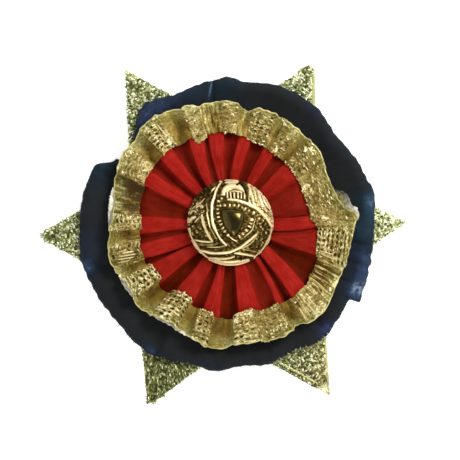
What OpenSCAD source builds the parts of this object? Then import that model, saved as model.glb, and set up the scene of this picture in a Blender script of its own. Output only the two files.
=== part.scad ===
// Rosette pin: a padded six-pointed star, a gathered velvet disc, a pleated two-colour ribbon
// and a cast dome button, worn on a bar pin. It lies face up on the feet of its bar pin.
// Millimetres, +Z out of the button's face, +Y towards the two upper points of the star.

/* [Star] */
// Thickness of the padded star, its cloth included
star_t = 2; // [1.5:0.1:3]

/* [Velvet disc] */
// Thickness of the doubled velvet
velvet_t = 2.2; // [1.6:0.1:3]
// How far the velvet's rim puffs up beyond the pleats
velvet_puff = 0.7; // [0:0.1:0.9]

/* [Pleated ribbons] */
// Thickness of the ribbons' cloth
ribbon_t = 1; // [0.8:0.05:1.2]
// Height of the pleats' crests, as a share of the usual height
pleat_share = 1; // [0.7:0.05:1.2]
// Radius of the sewn hole under the button
hub_r = 3.6; // [3.2:0.1:4.5]

/* [Button] */
// Diameter of the button
button_d = 21.5; // [20:0.5:23]
// Height of the button's dome above its rim
dome_h = 6.2; // [5:0.1:7]
// Thickness of the button's rim
rim_t = 1.2; // [0.8:0.1:1.6]

/* [Bar pin] */
// Length of the bar
bar_l = 34; // [30:1:40]
// Width of the bar and its feet
bar_w = 5; // [4:0.5:6]
// Depth of the bar pin, from the star's back to the tips of the feet
pin_h = 5.2; // [4.8:0.1:6]
// Diameter of the pin wire
wire_d = 0.8; // [0.7:0.05:1]

/* [Assembly] */
// Gap left between neighbouring pieces, for thread or glue
gap = 0.2; // [0.1:0.05:0.3]

/* [Hidden] */
$fn = 64;

// Places, from the centre of the star's box, which is the origin
star_centre = [1.24, 0.37];
rosette_centre = [2, 2.6];

// The levels of the pieces, from the feet of the bar pin upwards
star_z = pin_h + gap;
velvet_z = star_z + star_t + gap;
pleat_z = velvet_z + velvet_t + gap;

// Star points, one row each: [angle, reach]
TIPS = [[3.9, 44.4], [62.9, 46.6], [122.1, 47.5], [181.8, 46.8], [245.5, 46.4], [302.2, 47.9]];
// Reach of the notches between the points, as a share of the points beside them
notch_share = 0.577;

// Velvet outline, one row for each swell or dip of the rim: [angle, reach, puff as a share].
// The ribbon's two ends part between 135 and 158 degrees, and one cut end sticks out at 329.
REACH_AT = 1;
PUFF = 2;
VELVET = [
    [0, 35.8, 0.6], [13, 36.9, 1], [20, 35.5, 0.6], [38, 34.5, 1.1], [55, 36.5, 0.7], [70, 36.8, 1.1],
    [84, 35.5, 0.8], [92, 37, 1.2], [98, 36.3, -0.2], [112, 35.3, 0.8], [118, 35.5, 0.9], [125, 36.8, 1.3],
    [130, 35.5, 0.8], [135, 32.5, 0.1], [139, 29, 0.1], [147, 29, 0.1], [151, 33, 0.3], [158, 37.2, 0.4],
    [172, 38, 1.1], [183, 37.8, 0.8], [194, 38.7, 1.2], [199, 38.2, 0], [204, 37.9, 1], [222, 37.5, 0.8],
    [233, 38.3, 1.1], [238, 38.4, 0.1], [244, 37.7, 1], [255, 36.5, 0.6], [263, 37.2, 1.1], [275, 35.7, 0.6],
    [285, 36.5, 1.1], [297, 35.5, 0.7], [307, 37, 1.1], [312, 36.9, 0], [317, 36, 1], [327.5, 35.2, 0.3],
    [329, 37.7, 0.9], [340, 36.5, 1.1], [355, 35.8, 0.9]];

// Pleats, one row for each: the crest's first and last angle at the seam, how far the crest
// turns towards the hub, the radius of its seam, its reach and its height as a share,
// and the seam, reach and height of the dip that follows it
START = 0;
END = 1;
TWIST = 2;
SEAM = 3;
REACH = 4;
LIFT = 5;
DIP_SEAM = 6;
DIP_REACH = 7;
DIP = 8;
PLEATS = [
    [-2, 31, -4, 19.6, 27.4, 1.05, 19.4, 27.6, 0.7],
    [33.5, 49, 0, 20, 28.6, 0.95, 20.3, 28.5, 0.1],
    [54, 65, 3, 20.2, 29, 0.9, 20.6, 29.3, 0.1],
    [73.5, 81.5, 4, 20.9, 29.6, 1, 22, 28.9, 0],
    [91, 103.5, 5, 22.5, 30.6, 0.9, 22, 30.4, 0.55],
    [106.5, 115, 8, 21.5, 30.8, 1.1, 23.5, 32.2, 0],
    [125, 136, 5, 24, 32.8, 0.95, 24, 32.3, 0],
    [145, 157, 3, 24, 32, 0.95, 23, 30.4, 0.1],
    [173, 185.5, 2, 22.3, 30.6, 1, 23, 31, 0.3],
    [190, 201, 1, 23.4, 31.7, 0.9, 23.8, 31.2, 0.15],
    [207, 219, 3, 22, 30, 1.05, 24, 31.6, 0],
    [229.5, 244, 2, 21.2, 29.3, 1.1, 22.6, 30, 0.1],
    [250.5, 261, 3, 22.8, 30.6, 0.95, 23.8, 31.8, 0],
    [273, 287, 2, 22.2, 30.3, 1.05, 22.9, 30.9, 0.25],
    [295, 302, 6, 23.3, 31.3, 0.95, 23.4, 30.4, 0],
    [308, 321, 6, 24, 32, 0.95, 23.2, 30.5, 0],
    [337.5, 355.5, -3, 21.9, 30.6, 1, 21.5, 30.8, 0.6]];
// Widest run of a pleat's flank, in degrees, and the share of a dip that one flank may take
flank = 3;
flank_share = 0.32;

// Height of the cloth's underside over the velvet: [radius, in a dip, on a crest]
SLOPE = [
    [3.2, 0.2, 0.7], [10.75, 0.3, 1.7], [17, 0.5, 2.7],
    [22.5, 0.5, 3.1], [28, 0.4, 3.2], [33, 0.3, 2.5]];
DIP_LINE = [for (s = SLOPE) [s[0], s[1]]];
CREST_LINE = [for (s = SLOPE) [s[0], s[2]]];

// Rings of points across each ribbon, as shares of its width
RED_RINGS = [0, 0.38, 0.68, 0.86, 1];
GOLD_RINGS = [0, 0.35, 0.7, 1];
// Points across a crest or a dip, as [share of its width, how far it rounds off]
ACROSS = [[0, 0.12], [0.3, 0], [0.7, 0], [1, 0.12]];
// Velvet columns between two rows of its table
velvet_steps = 3;
// Reach of the velvet that stays flat under the ribbons, and the width of its rim at least
velvet_flat_r = 26;
velvet_rim_w = 5;
// The velvet's rolled rim: [distance in from its edge, height, share of the puff on top]
RIM = [[3.4, 1, 0.4], [1.8, 1, 1], [0.6, 0.85, 0.7], [0, 0.5, 0], [0.7, 0.1, 0], [2.5, 0, 0]];

// The button's dome is a cap of one sphere, and its relief lies on that sphere
button_r = button_d / 2;
button_z = pleat_z + lookup(button_r, CREST_LINE) * 1.05 * pleat_share + ribbon_t + gap;
dome_base_r = button_r - 0.3;
// Radius at which the ridges are trimmed, just inside the rim
trim_r = button_r - 0.1;
dome_r = (dome_base_r * dome_base_r + dome_h * dome_h) / (2 * dome_h);
dome_centre_z = button_z + rim_t + dome_h - dome_r;
// Interlaced bands, one row each: [start, middle and end of its rail, going anticlockwise,
// then how far out its finer ridges run beside the rail], on a button of knot_d
knot_d = 21.5;
BANDS = [
    [[-1, 10.4], [-4.75, 1.6], [-0.9, -6], [1.1, 2.1]],
    [[-8.4, -6.3], [-1.3, -7.6], [6.6, -2.5], [1.1, 2]],
    [[10.5, -0.9], [5.4, 4.1], [-0.5, 5.5], [1.2, 2.3]]];
rail_r = 0.42;
ridge_r = 0.3;
// Stone-like boss in the middle of the knot, and the triangle of beads round it
boss_at = [1.1, 0.4] * button_d / knot_d;
boss_turn = 17;
boss_reach = 3.5;
boss_h = 0.75;
bead_reach = 5;
beads_a_side = 7;
bead_r = 0.42;
// Loop under the button
shank_wire_r = 0.7;
shank_loop_r = 1.5;
shank_sunk = 0.4;

// Bar pin: its feet, the wire's axis and the hook's channel
bar_t = 0.9;
bar_past_foot = 1;
foot_l = 3;
wire_z = 1.6;
channel_r = 1.05;
wire_past_hook = 1.2;
point_l = 1.6;
point_d = 0.1;
// How far a cut runs past what it cuts
past = 1;

function wrap(a) = a < 0 ? a + 360 : a >= 360 ? a - 360 : a;
function eased(a, b, t) = a + (b - a) * (1 - cos(180 * t)) / 2;
function mix(a, b, t) = a + (b - a) * t;

function at(r, a, z) = [rosette_centre[0] + r * cos(a), rosette_centre[1] + r * sin(a), z];

// Faces of a ring: columns of closed section loops, joined all the way round
function ring_faces(columns, n) = [
    for (c = [0:columns - 1], p = [0:n - 1])
        let (c2 = (c + 1) % columns, p2 = (p + 1) % n,
             i = c * n + p, j = c * n + p2, k = c2 * n + p2, l = c2 * n + p)
        each [[i, j, k], [i, k, l]]];

module cloth_ring(loops)
    polyhedron(
        points = [for (l = loops) each l],
        faces = ring_faces(len(loops), len(loops[0])), convexity = 8);

// Columns of the pleats. A column is [angle on top, angle beneath, twist, seam, reach, height share].
function dip_width(i) = wrap(PLEATS[(i + 1) % len(PLEATS)][START] - PLEATS[i][END]);
function run(i) = min(flank, dip_width(i) * flank_share);
function lean(i) = 0.3 * min(PLEATS[i][END] - PLEATS[i][START], dip_width(i), 8);
function crest_columns(i) = let (p = PLEATS[i], w = p[END] - p[START]) [
    for (s = ACROSS)
        [p[START] + s[0] * w, p[START] + s[0] * w + (1 - 2 * s[0]) * lean(i),
         p[TWIST], p[SEAM], p[REACH], p[LIFT] - s[1]]];
function dip_columns(i) = let (p = PLEATS[i], w = dip_width(i) - 2 * run(i),
                               next = PLEATS[(i + 1) % len(PLEATS)]) [
    for (s = ACROSS)
        [p[END] + run(i) + s[0] * w, p[END] + run(i) + s[0] * w - (1 - 2 * s[0]) * lean(i),
         mix(p[TWIST], next[TWIST], s[0]), p[DIP_SEAM], p[DIP_REACH], p[DIP] + s[1]]];
COLUMNS = [for (i = [0:len(PLEATS) - 1]) each concat(crest_columns(i), dip_columns(i))];

// A point of the cloth: column c at radius r, on top or beneath
function cloth_height(r, share) =
    mix(lookup(r, DIP_LINE), lookup(r, CREST_LINE), share * pleat_share) + pleat_z;
function turn(c, r) = c[2] * max(0, 1 - (r - hub_r) / (c[3] - hub_r));
function cloth_top(c, r) = at(r, c[0] + turn(c, r), cloth_height(r, c[5]) + ribbon_t);
function cloth_under(c, r) = at(r, c[1] + turn(c, r), cloth_height(r, c[5]));
function section(c, radii) = concat(
    [for (r = radii) cloth_top(c, r)],
    [for (k = [len(radii) - 1:-1:0]) cloth_under(c, radii[k])]);

module star()
    color("darkkhaki")
    translate([star_centre[0], star_centre[1], star_z])
    linear_extrude(star_t)
    polygon([for (i = [0:len(TIPS) - 1])
        let (tip = TIPS[i], next = TIPS[(i + 1) % len(TIPS)],
             middle = tip[0] + wrap(next[0] - tip[0]) / 2,
             notch = notch_share * (tip[1] + next[1]) / 2)
        each [tip[1] * [cos(tip[0]), sin(tip[0])], notch * [cos(middle), sin(middle)]]]);

// Section of the velvet at one angle: flat under the ribbons, then a soft rolled rim
function velvet_section(a, reach, puff) = concat(
    [at(hub_r, a, velvet_z + velvet_t),
     at(min(velvet_flat_r, reach - velvet_rim_w), a, velvet_z + velvet_t)],
    [for (p = RIM) at(reach - p[0], a, velvet_z + velvet_t * p[1] + velvet_puff * puff * p[2])],
    [at(hub_r, a, velvet_z)]);

module velvet_disc() {
    n = len(VELVET);
    loops = [for (i = [0:n - 1], k = [0:velvet_steps - 1])
        let (here = VELVET[i], next = VELVET[(i + 1) % n], t = k / velvet_steps)
        velvet_section(
            here[0] + wrap(next[0] - here[0]) * t,
            eased(here[REACH_AT], next[REACH_AT], t), eased(here[PUFF], next[PUFF], t))];
    color("midnightblue") cloth_ring(loops);
}

module red_pleats()
    color("firebrick")
    cloth_ring([for (c = COLUMNS) section(c, [for (s = RED_RINGS) mix(hub_r, c[3], s)])]);

module gold_ruffle()
    color("darkgoldenrod")
    cloth_ring([for (c = COLUMNS) section(c, [for (s = GOLD_RINGS) mix(c[3] + gap, c[4], s)])]);

// A ridge along a circle of the dome, through three points seen from above and moved outwards
function on_dome(p) = [p[0], p[1], sqrt(dome_r * dome_r - p * p)];
module ridge(band, out, r) {
    p = [for (k = [0:2]) on_dome(band[k] * button_d / knot_d)];
    across = cross(p[1] - p[0], p[2] - p[0]);
    n = across / norm(across);
    height = n * p[0];
    u = (p[0] - height * n) / norm(p[0] - height * n);
    v = cross(n, u);
    end = p[2] - height * n;
    span = atan2(end * v, end * u);
    low = height - out;
    multmatrix([for (k = [0:2]) [u[k], v[k], n[k], low * n[k]]])
        rotate_extrude(angle = wrap(span)) translate([sqrt(dome_r * dome_r - low * low), 0]) circle(r);
}

// Rounded triangle: where three circles centred on its corners overlap
module rounded_triangle(reach)
    intersection_for(corner = [0:2])
        rotate(boss_turn + corner * 120) translate([reach, 0]) circle(reach * sqrt(3));

// Place of a bead: on the side of the rounded triangle that lies across from a corner
function bead_at(corner, k) = let (
        from = boss_turn + corner * 120,
        a = from + 150 + 60 * (k + 0.5) / beads_a_side)
    boss_at + bead_reach * ([cos(from), sin(from)] + sqrt(3) * [cos(a), sin(a)]);

module button()
    color("goldenrod")
    translate([rosette_centre[0], rosette_centre[1], 0]) {
        translate([0, 0, button_z]) cylinder(r = button_r, h = rim_t);
        translate([0, 0, dome_centre_z])
            intersection() {
                union() {
                    sphere(dome_r);
                    for (b = BANDS) {
                        ridge(b, 0, rail_r);
                        for (out = b[3]) ridge(b, out, ridge_r);
                    }
                    for (corner = [0:2], k = [0:beads_a_side - 1])
                        translate(on_dome(bead_at(corner, k))) sphere(bead_r);
                    intersection() {
                        translate([boss_at[0], boss_at[1], 0])
                            linear_extrude(2 * dome_r) rounded_triangle(boss_reach);
                        sphere(dome_r + boss_h);
                    }
                }
                translate([0, 0, button_z + rim_t / 2 - dome_centre_z])
                    cylinder(r = trim_r, h = 2 * dome_r);
            }
        translate([0, 0, button_z - shank_loop_r + shank_sunk])
            rotate([90, 0, 0]) rotate_extrude() translate([shank_loop_r, 0]) circle(shank_wire_r);
    }

module bar_pin() {
    hinge_x = bar_past_foot - bar_l / 2;
    hook_x = bar_l / 2 - bar_past_foot - foot_l;
    wire_x = hinge_x + foot_l / 2;
    wire_l = hook_x + foot_l + wire_past_hook - wire_x;
    color("silver")
    translate([rosette_centre[0], rosette_centre[1], 0]) {
        translate([-bar_l / 2, -bar_w / 2, pin_h - bar_t]) cube([bar_l, bar_w, bar_t]);
        translate([hinge_x, -bar_w / 2, 0]) cube([foot_l, bar_w, pin_h - bar_t / 2]);
        difference() {
            translate([hook_x, -bar_w / 2, 0]) cube([foot_l, bar_w, pin_h - bar_t / 2]);
            translate([hook_x - past, 0, wire_z])
                rotate([0, 90, 0]) cylinder(r = channel_r, h = foot_l + 2 * past);
            translate([hook_x - past, 0, wire_z]) cube([foot_l + 2 * past, bar_w, channel_r]);
        }
        translate([wire_x, 0, wire_z]) rotate([0, 90, 0]) {
            cylinder(d = wire_d, h = wire_l);
            translate([0, 0, wire_l]) cylinder(d1 = wire_d, d2 = point_d, h = point_l);
        }
    }
}

star();
velvet_disc();
red_pleats();
gold_ruffle();
button();
bar_pin();
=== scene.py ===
import math

import bmesh
import bpy
import numpy as np
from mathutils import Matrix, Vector


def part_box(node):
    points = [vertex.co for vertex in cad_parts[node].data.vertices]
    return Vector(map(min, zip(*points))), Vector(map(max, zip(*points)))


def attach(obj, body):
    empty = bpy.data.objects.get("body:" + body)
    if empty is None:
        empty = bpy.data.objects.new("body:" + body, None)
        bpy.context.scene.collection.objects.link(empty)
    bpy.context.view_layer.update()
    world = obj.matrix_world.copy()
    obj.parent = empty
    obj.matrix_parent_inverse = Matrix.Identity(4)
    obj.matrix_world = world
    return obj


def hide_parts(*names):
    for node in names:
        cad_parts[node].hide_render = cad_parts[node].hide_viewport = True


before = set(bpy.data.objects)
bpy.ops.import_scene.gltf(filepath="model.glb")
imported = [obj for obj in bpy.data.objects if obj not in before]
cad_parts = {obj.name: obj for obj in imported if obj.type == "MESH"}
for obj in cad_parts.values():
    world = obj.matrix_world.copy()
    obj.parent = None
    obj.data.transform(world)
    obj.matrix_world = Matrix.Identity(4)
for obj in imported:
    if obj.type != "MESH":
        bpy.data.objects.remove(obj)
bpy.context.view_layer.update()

# Rosette pin, face up on the feet of its bar pin. Shapes are worked out in millimetres round
# the middle of the button, and only become metres when a mesh is made.

mm = 0.001
middle = np.array([2.0, 2.6, 0.0])


def level(node, top):
    # the height of a CAD node's lowest or highest point, in millimetres
    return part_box(node)[1 if top else 0][2] / mm


def paint(red, green, blue):
    # a colour as a picture shows it, 0 to 255, turned into the light that a shader wants
    parts = [c / 255 for c in (red, green, blue)]
    return tuple(c / 12.92 if c <= 0.04045 else ((c + 0.055) / 1.055) ** 2.4 for c in parts) + (1.0,)


def mix(a, b, t):
    # from a to b while t goes from 0 to 1
    return a + (b - a) * t


def step(low, high, x):
    # 0 below low, 1 above high, and a soft S between them
    t = np.clip((x - low) / (high - low), 0, 1)
    return t * t * (3 - 2 * t)


def apart(angle, other):
    # degrees from one angle to another, between -180 and 180
    return (angle - other + 180) % 360 - 180


def pointing(angle):
    # arrows of length 1 in the plane, from their angles in radians
    return np.stack([np.cos(angle), np.sin(angle)], axis=-1)


def facing(arrow):
    # the angles of arrows in the plane, in degrees
    return np.degrees(np.arctan2(arrow[..., 1], arrow[..., 0]))


def ripple(seed, angle, along=0.0, waves=(2, 9), steep=0.4, count=7):
    # sum of sine waves over an angle in degrees and a radius in mm, each with a whole number of
    # turns round the circle, so that it closes; the result lies between about -1 and 1
    dice = np.random.default_rng(seed)
    total = 0.0
    for k in range(count):
        turns = dice.integers(waves[0], waves[1] + 1)
        slant, start = dice.uniform(-steep, steep), dice.uniform(0, 6.28)
        total = total + np.sin(np.radians(angle) * turns + along * slant + start)
    return total / math.sqrt(count)


def around(table, column, angles):
    # a table's column at any angle, rising and falling softly between its rows
    rows = np.array(table, float)
    at, value = rows[:, 0], rows[:, column]
    at, value = np.r_[at, at[0] + 360], np.r_[value, value[0]]
    angles = (np.asarray(angles) - at[0]) % 360 + at[0]
    k = np.clip(np.searchsorted(at, angles, side="right") - 1, 0, len(at) - 2)
    t = (angles - at[k]) / (at[k + 1] - at[k])
    return mix(value[k], value[k + 1], (1 - np.cos(np.pi * t)) / 2)


def soften(values, width):
    # a closed row of values blurred by a bell of this width, in samples
    n = len(values)
    bell = np.exp(-0.5 * (np.minimum(np.arange(n), n - np.arange(n)) / width) ** 2)
    return np.real(np.fft.ifft(np.fft.fft(values) * np.fft.fft(bell / bell.sum())))


def polar(radius, degrees, height):
    # points in millimetres round the middle of the button
    radius, a, height = np.broadcast_arrays(radius, np.radians(degrees), height)
    return np.stack([radius * np.cos(a), radius * np.sin(a), height], axis=-1) + middle


def lengths(p):
    # how far along a row of points each one lies
    return np.r_[0, np.cumsum(np.linalg.norm(np.diff(p, axis=0), axis=1))]


def onCloth(p, column, row):
    # points between those of a grid, whose columns close on themselves
    i, j = np.floor(column).astype(int), np.clip(np.floor(row).astype(int), 0, p.shape[1] - 2)
    s, t = (column - i)[..., None], np.clip(row - j, 0, 1)[..., None]
    i, k = i % len(p), (i + 1) % len(p)
    return mix(mix(p[i, j], p[k, j], s), mix(p[i, j + 1], p[k, j + 1], s), t)


def surface(name, p, roundU=False, roundV=False, uv=None, marks=None):
    # a mesh of four-sided faces over the points p[u, v], or over many such grids, p[grid, u, v];
    # uv has one more row or column where the grid closes on itself, and marks are named values,
    # one for each point
    grids = p if p.ndim == 4 else p[None]
    count, nu, nv = grids.shape[:3]
    grid, i, j = np.meshgrid(np.arange(count), np.arange(nu if roundU else nu - 1),
                             np.arange(nv if roundV else nv - 1), indexing="ij")
    corners = [(i, j), (i + 1, j), (i + 1, j + 1), (i, j + 1)]
    faces = np.stack([(grid * nu + a % nu) * nv + b % nv for a, b in corners], axis=-1).reshape(-1, 4)
    mesh = bpy.data.meshes.new(name)
    mesh.vertices.add(count * nu * nv)
    mesh.vertices.foreach_set("co", (grids * mm).astype(np.float32).ravel())
    mesh.loops.add(faces.size)
    mesh.loops.foreach_set("vertex_index", faces.astype(np.int32).ravel())
    mesh.polygons.add(len(faces))
    mesh.polygons.foreach_set("loop_start", np.arange(0, faces.size, 4, dtype=np.int32))
    mesh.polygons.foreach_set("use_smooth", np.ones(len(faces), bool))
    if uv is not None:
        layer = mesh.uv_layers.new(name="cloth")
        flat = np.stack([uv[a.ravel(), b.ravel()] for a, b in corners], axis=1)
        layer.data.foreach_set("uv", flat.astype(np.float32).ravel())
    for key, value in (marks or {}).items():
        mark = mesh.attributes.new(key, "FLOAT", "POINT")
        mark.data.foreach_set("value", np.broadcast_to(value, (count, nu, nv)).astype(np.float32).ravel())
    mesh.update()
    built = bmesh.new()                              # a row that has shrunk to a point becomes one
    built.from_mesh(mesh)
    bmesh.ops.remove_doubles(built, verts=built.verts, dist=1e-8)
    built.to_mesh(mesh)
    built.free()
    piece = bpy.data.objects.new(name, mesh)
    bpy.context.scene.collection.objects.link(piece)
    return piece


def strands(name, paths, thick, tint, sides=5, flat=0.7):
    # many short threads at once: paths[thread, point], each carried round by a ring that lies
    # across it and closes to nothing at both ends
    along = np.gradient(paths, axis=1)
    along /= np.maximum(np.linalg.norm(along, axis=2, keepdims=True), 1e-9)
    side = np.cross(along, [0, 0, 1.0])
    side /= np.maximum(np.linalg.norm(side, axis=2, keepdims=True), 1e-9)
    up = np.cross(side, along)
    t = np.linspace(-1, 1, paths.shape[1])
    radius = (thick[:, None] * np.sqrt(1 - np.abs(t) ** 5))[:, :, None, None]
    turn = np.arange(sides) * 2 * np.pi / sides
    cos, sin = np.cos(turn)[:, None], np.sin(turn)[:, None]
    rings = paths[:, :, None] + radius * (cos * side[:, :, None] + flat * sin * up[:, :, None])
    return surface(name, rings, roundV=True, marks={"tint": tint[:, None, None]})


def thicken(piece, thickness):
    # a wall on the inner side of a sheet, whose faces point outwards
    wall = piece.modifiers.new("wall", "SOLIDIFY")
    wall.thickness, wall.offset, wall.use_even_offset = thickness * mm, -1.0, False
    return piece


def settle(piece, finish, replaces=()):
    # gives a piece its finish, its body and slot, and hides the CAD nodes it stands for
    piece.data.materials.append(finish.material)
    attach(piece, "root")
    if replaces:
        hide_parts(*replaces)
    return piece


class Wire:
    # a socket that can be added, multiplied and so on; each sum adds one Math node
    def __init__(self, nodes, node, out=0):
        self.nodes, self.socket = nodes, node.outputs[out]

    def sum(self, operation, *others, first=None):
        values = [self, *others] if first is None else [first, self]
        return self.nodes.node("ShaderNodeMath", {"operation": operation}, dict(enumerate(values)))

    def __add__(self, x): return self.sum("ADD", x)
    def __radd__(self, x): return self.sum("ADD", first=x)
    def __sub__(self, x): return self.sum("SUBTRACT", x)
    def __rsub__(self, x): return self.sum("SUBTRACT", first=x)
    def __mul__(self, x): return self.sum("MULTIPLY", x)
    def __rmul__(self, x): return self.sum("MULTIPLY", first=x)
    def __truediv__(self, x): return self.sum("DIVIDE", x)
    def __rtruediv__(self, x): return self.sum("DIVIDE", first=x)
    def __pow__(self, x): return self.sum("POWER", x)
    def __rpow__(self, x): return self.sum("POWER", first=x)
    def floor(self): return self.sum("FLOOR")
    def fract(self): return self.sum("FRACT")
    def abs(self): return self.sum("ABSOLUTE")
    def wave(self): return self.sum("SINE")
    def most(self, x): return self.sum("MAXIMUM", x)

    def span(self, low, high, a=0.0, b=1.0):
        # a soft step from a to b while the value goes from low to high
        return self.nodes.node(
            "ShaderNodeMapRange", {"interpolation_type": "SMOOTHSTEP"},
            {"Value": self, "From Min": low, "From Max": high, "To Min": a, "To Max": b})


class Nodes:
    # a node tree, and one method that adds any node to it
    def __init__(self, tree):
        self.tree = tree

    def node(self, kind, settings=None, sockets=None, out=0):
        # its type, its settings, then a wire or a value for each socket; gives a wire from out
        made = self.tree.nodes.new(kind)
        for key, value in (settings or {}).items():
            if key == "stops":
                elements = made.color_ramp.elements
                while len(elements) < len(value):
                    elements.new(0.5)
                for element, (place, colour) in zip(elements, value):
                    element.position, element.color = place, colour
            else:
                setattr(made, key, value)
        for key, value in (sockets or {}).items():
            if isinstance(value, Wire):
                self.tree.links.new(value.socket, made.inputs[key])
            else:
                made.inputs[key].default_value = value
        return made if out is None else Wire(self, made, out)

    def place(self, out="Object"):
        return self.node("ShaderNodeTexCoord", out=out)

    def clothPlace(self):
        return self.node("ShaderNodeUVMap", {"uv_map": "cloth"})

    def mark(self, name):
        return self.node("ShaderNodeAttribute", {"attribute_name": name}, out="Fac")

    def split(self, vector):
        parts = self.node("ShaderNodeSeparateXYZ", {}, {0: vector}, out=None)
        return [Wire(self, parts, k) for k in range(3)]

    def join(self, x, y, z=0.0):
        return self.node("ShaderNodeCombineXYZ", {}, {0: x, 1: y, 2: z})

    def noise(self, where, scale, detail=2.0, roughness=0.5, distortion=0.0):
        return self.node("ShaderNodeTexNoise", {}, {
            "Vector": where, "Scale": scale, "Detail": detail, "Roughness": roughness,
            "Distortion": distortion})

    def cells(self, where, scale):
        return self.node("ShaderNodeTexVoronoi", {}, {"Vector": where, "Scale": scale}, out="Color")

    def dice(self, where):
        dimensions = {"noise_dimensions": "3D"}
        return self.node("ShaderNodeTexWhiteNoise", dimensions, {"Vector": where}, out="Color")

    def blend(self, share, a, b):
        return self.node("ShaderNodeMix", {"data_type": "RGBA"}, {0: share, 6: a, 7: b}, out=2)

    def ramp(self, share, stops):
        # stops are rows of a place and a colour as a picture shows it
        stops = [(place, paint(*colour)) for place, *colour in stops]
        return self.node("ShaderNodeValToRGB", {"stops": stops}, {0: share})

    def bump(self, height, distance):
        return self.node("ShaderNodeBump", {}, {"Height": height, "Distance": distance})


class Finish(Nodes):
    # one material: a Principled shader with its fixed values, and then what is fed to it
    def __init__(self, name, **constants):
        self.material = bpy.data.materials.new(name)
        self.material.use_nodes = True
        super().__init__(self.material.node_tree)
        self.tree.nodes.clear()
        constants = {key.replace("_", " "): value for key, value in constants.items()}
        self.shader = self.node("ShaderNodeBsdfPrincipled", {}, constants, out=None)
        self.tree.links.new(
            self.shader.outputs[0], self.node("ShaderNodeOutputMaterial", out=None).inputs["Surface"])

    def feed(self, **wires):
        for key, wire in wires.items():
            self.tree.links.new(wire.socket, self.shader.inputs[key.replace("_", " ")])


view = {
    "lookAt": (1.88, 0.9, 10.0),   # the middle of the picture, in mm
    "distance": 1.3,             # from there, in m
    "lean": 2.0,                 # degrees from straight above
    "width": 0.115,              # of the picture at the rosette, in m
    "sensor": 36.0,              # of the camera, in mm
    # lamps: place and width in m, power in watts, and colour
    "lamps": {
        "key": ((0.55, 0.5, 0.7), 0.6, 2.6, (1.0, 0.98, 0.95)),
        "spark": ((0.52, 0.47, 0.66), 0.4, 7.6, (1.0, 1.0, 1.0)),
        "fill": ((-0.9, -0.1, 1.0), 2.2, 7.0, (0.97, 0.98, 1.0)),
        "below": ((0.1, -0.9, 0.5), 0.6, 4.0, (1.0, 0.89, 0.77))},
    "horizon": (0.98, 0.98, 0.98, 1),  # the room's light all round
    "overhead": (0.3, 0.3, 0.3, 1),    # and from above, where the camera and the ceiling are
    "floorReach": 3000,          # mm each way
    "floorGlow": 0.52,
    "paper": [(0, 247, 247, 247), (1, 250.5, 250.5, 250.5)],
}

camera = bpy.data.objects.new("camera", bpy.data.cameras.new("camera"))
bpy.context.scene.collection.objects.link(camera)
lean = math.radians(view["lean"])
towards = Vector((0, -math.sin(lean), math.cos(lean)))
camera.location = Vector(view["lookAt"]) * mm + towards * view["distance"]
camera.rotation_euler = (lean, 0, 0)
camera.data.sensor_width = view["sensor"]
camera.data.lens = view["sensor"] * view["distance"] / view["width"]
camera.data.clip_start, camera.data.clip_end = 0.01, 20
bpy.context.scene.camera = camera

ends = (-view["floorReach"], view["floorReach"])
floor = surface("floor", np.array([[[x, y, 0.0] for y in ends] for x in ends]))
paper = Finish("floorPaper", Roughness=0.9, Emission_Color=(1, 1, 1, 1), Emission_Strength=view["floorGlow"])
paper.feed(Base_Color=paper.ramp(paper.noise(paper.place(), 3.0), view["paper"]))
floor.data.materials.append(paper.material)


def lamp(name, place, size, power, colour):
    # a round soft light that faces the rosette and that the camera doesn't see
    light = bpy.data.lights.new(name, "AREA")
    light.shape, light.size, light.energy, light.color = "DISK", size, power, colour
    made = bpy.data.objects.new(name, light)
    made.location = place
    made.rotation_euler = (-Vector(place)).to_track_quat("-Z", "Y").to_euler()
    made.visible_camera = False
    bpy.context.scene.collection.objects.link(made)


def studioWorld():
    # a pale room, bright all round and dimmer overhead
    world = bpy.data.worlds.new("studio")
    world.use_nodes = True
    room = Nodes(world.node_tree)
    height = room.split(room.place("Generated"))[2]
    stops = [(0.0, view["horizon"]), (1.0, view["overhead"])]
    shade = room.node("ShaderNodeValToRGB", {"stops": stops}, {0: height})
    room.tree.links.new(shade.socket, room.tree.nodes["Background"].inputs["Color"])
    return world


for name, facts in view["lamps"].items():
    lamp(name, *facts)
bpy.context.scene.world = studioWorld()
bpy.context.scene.view_settings.view_transform = "Standard"
print("camera and light ready")


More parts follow.
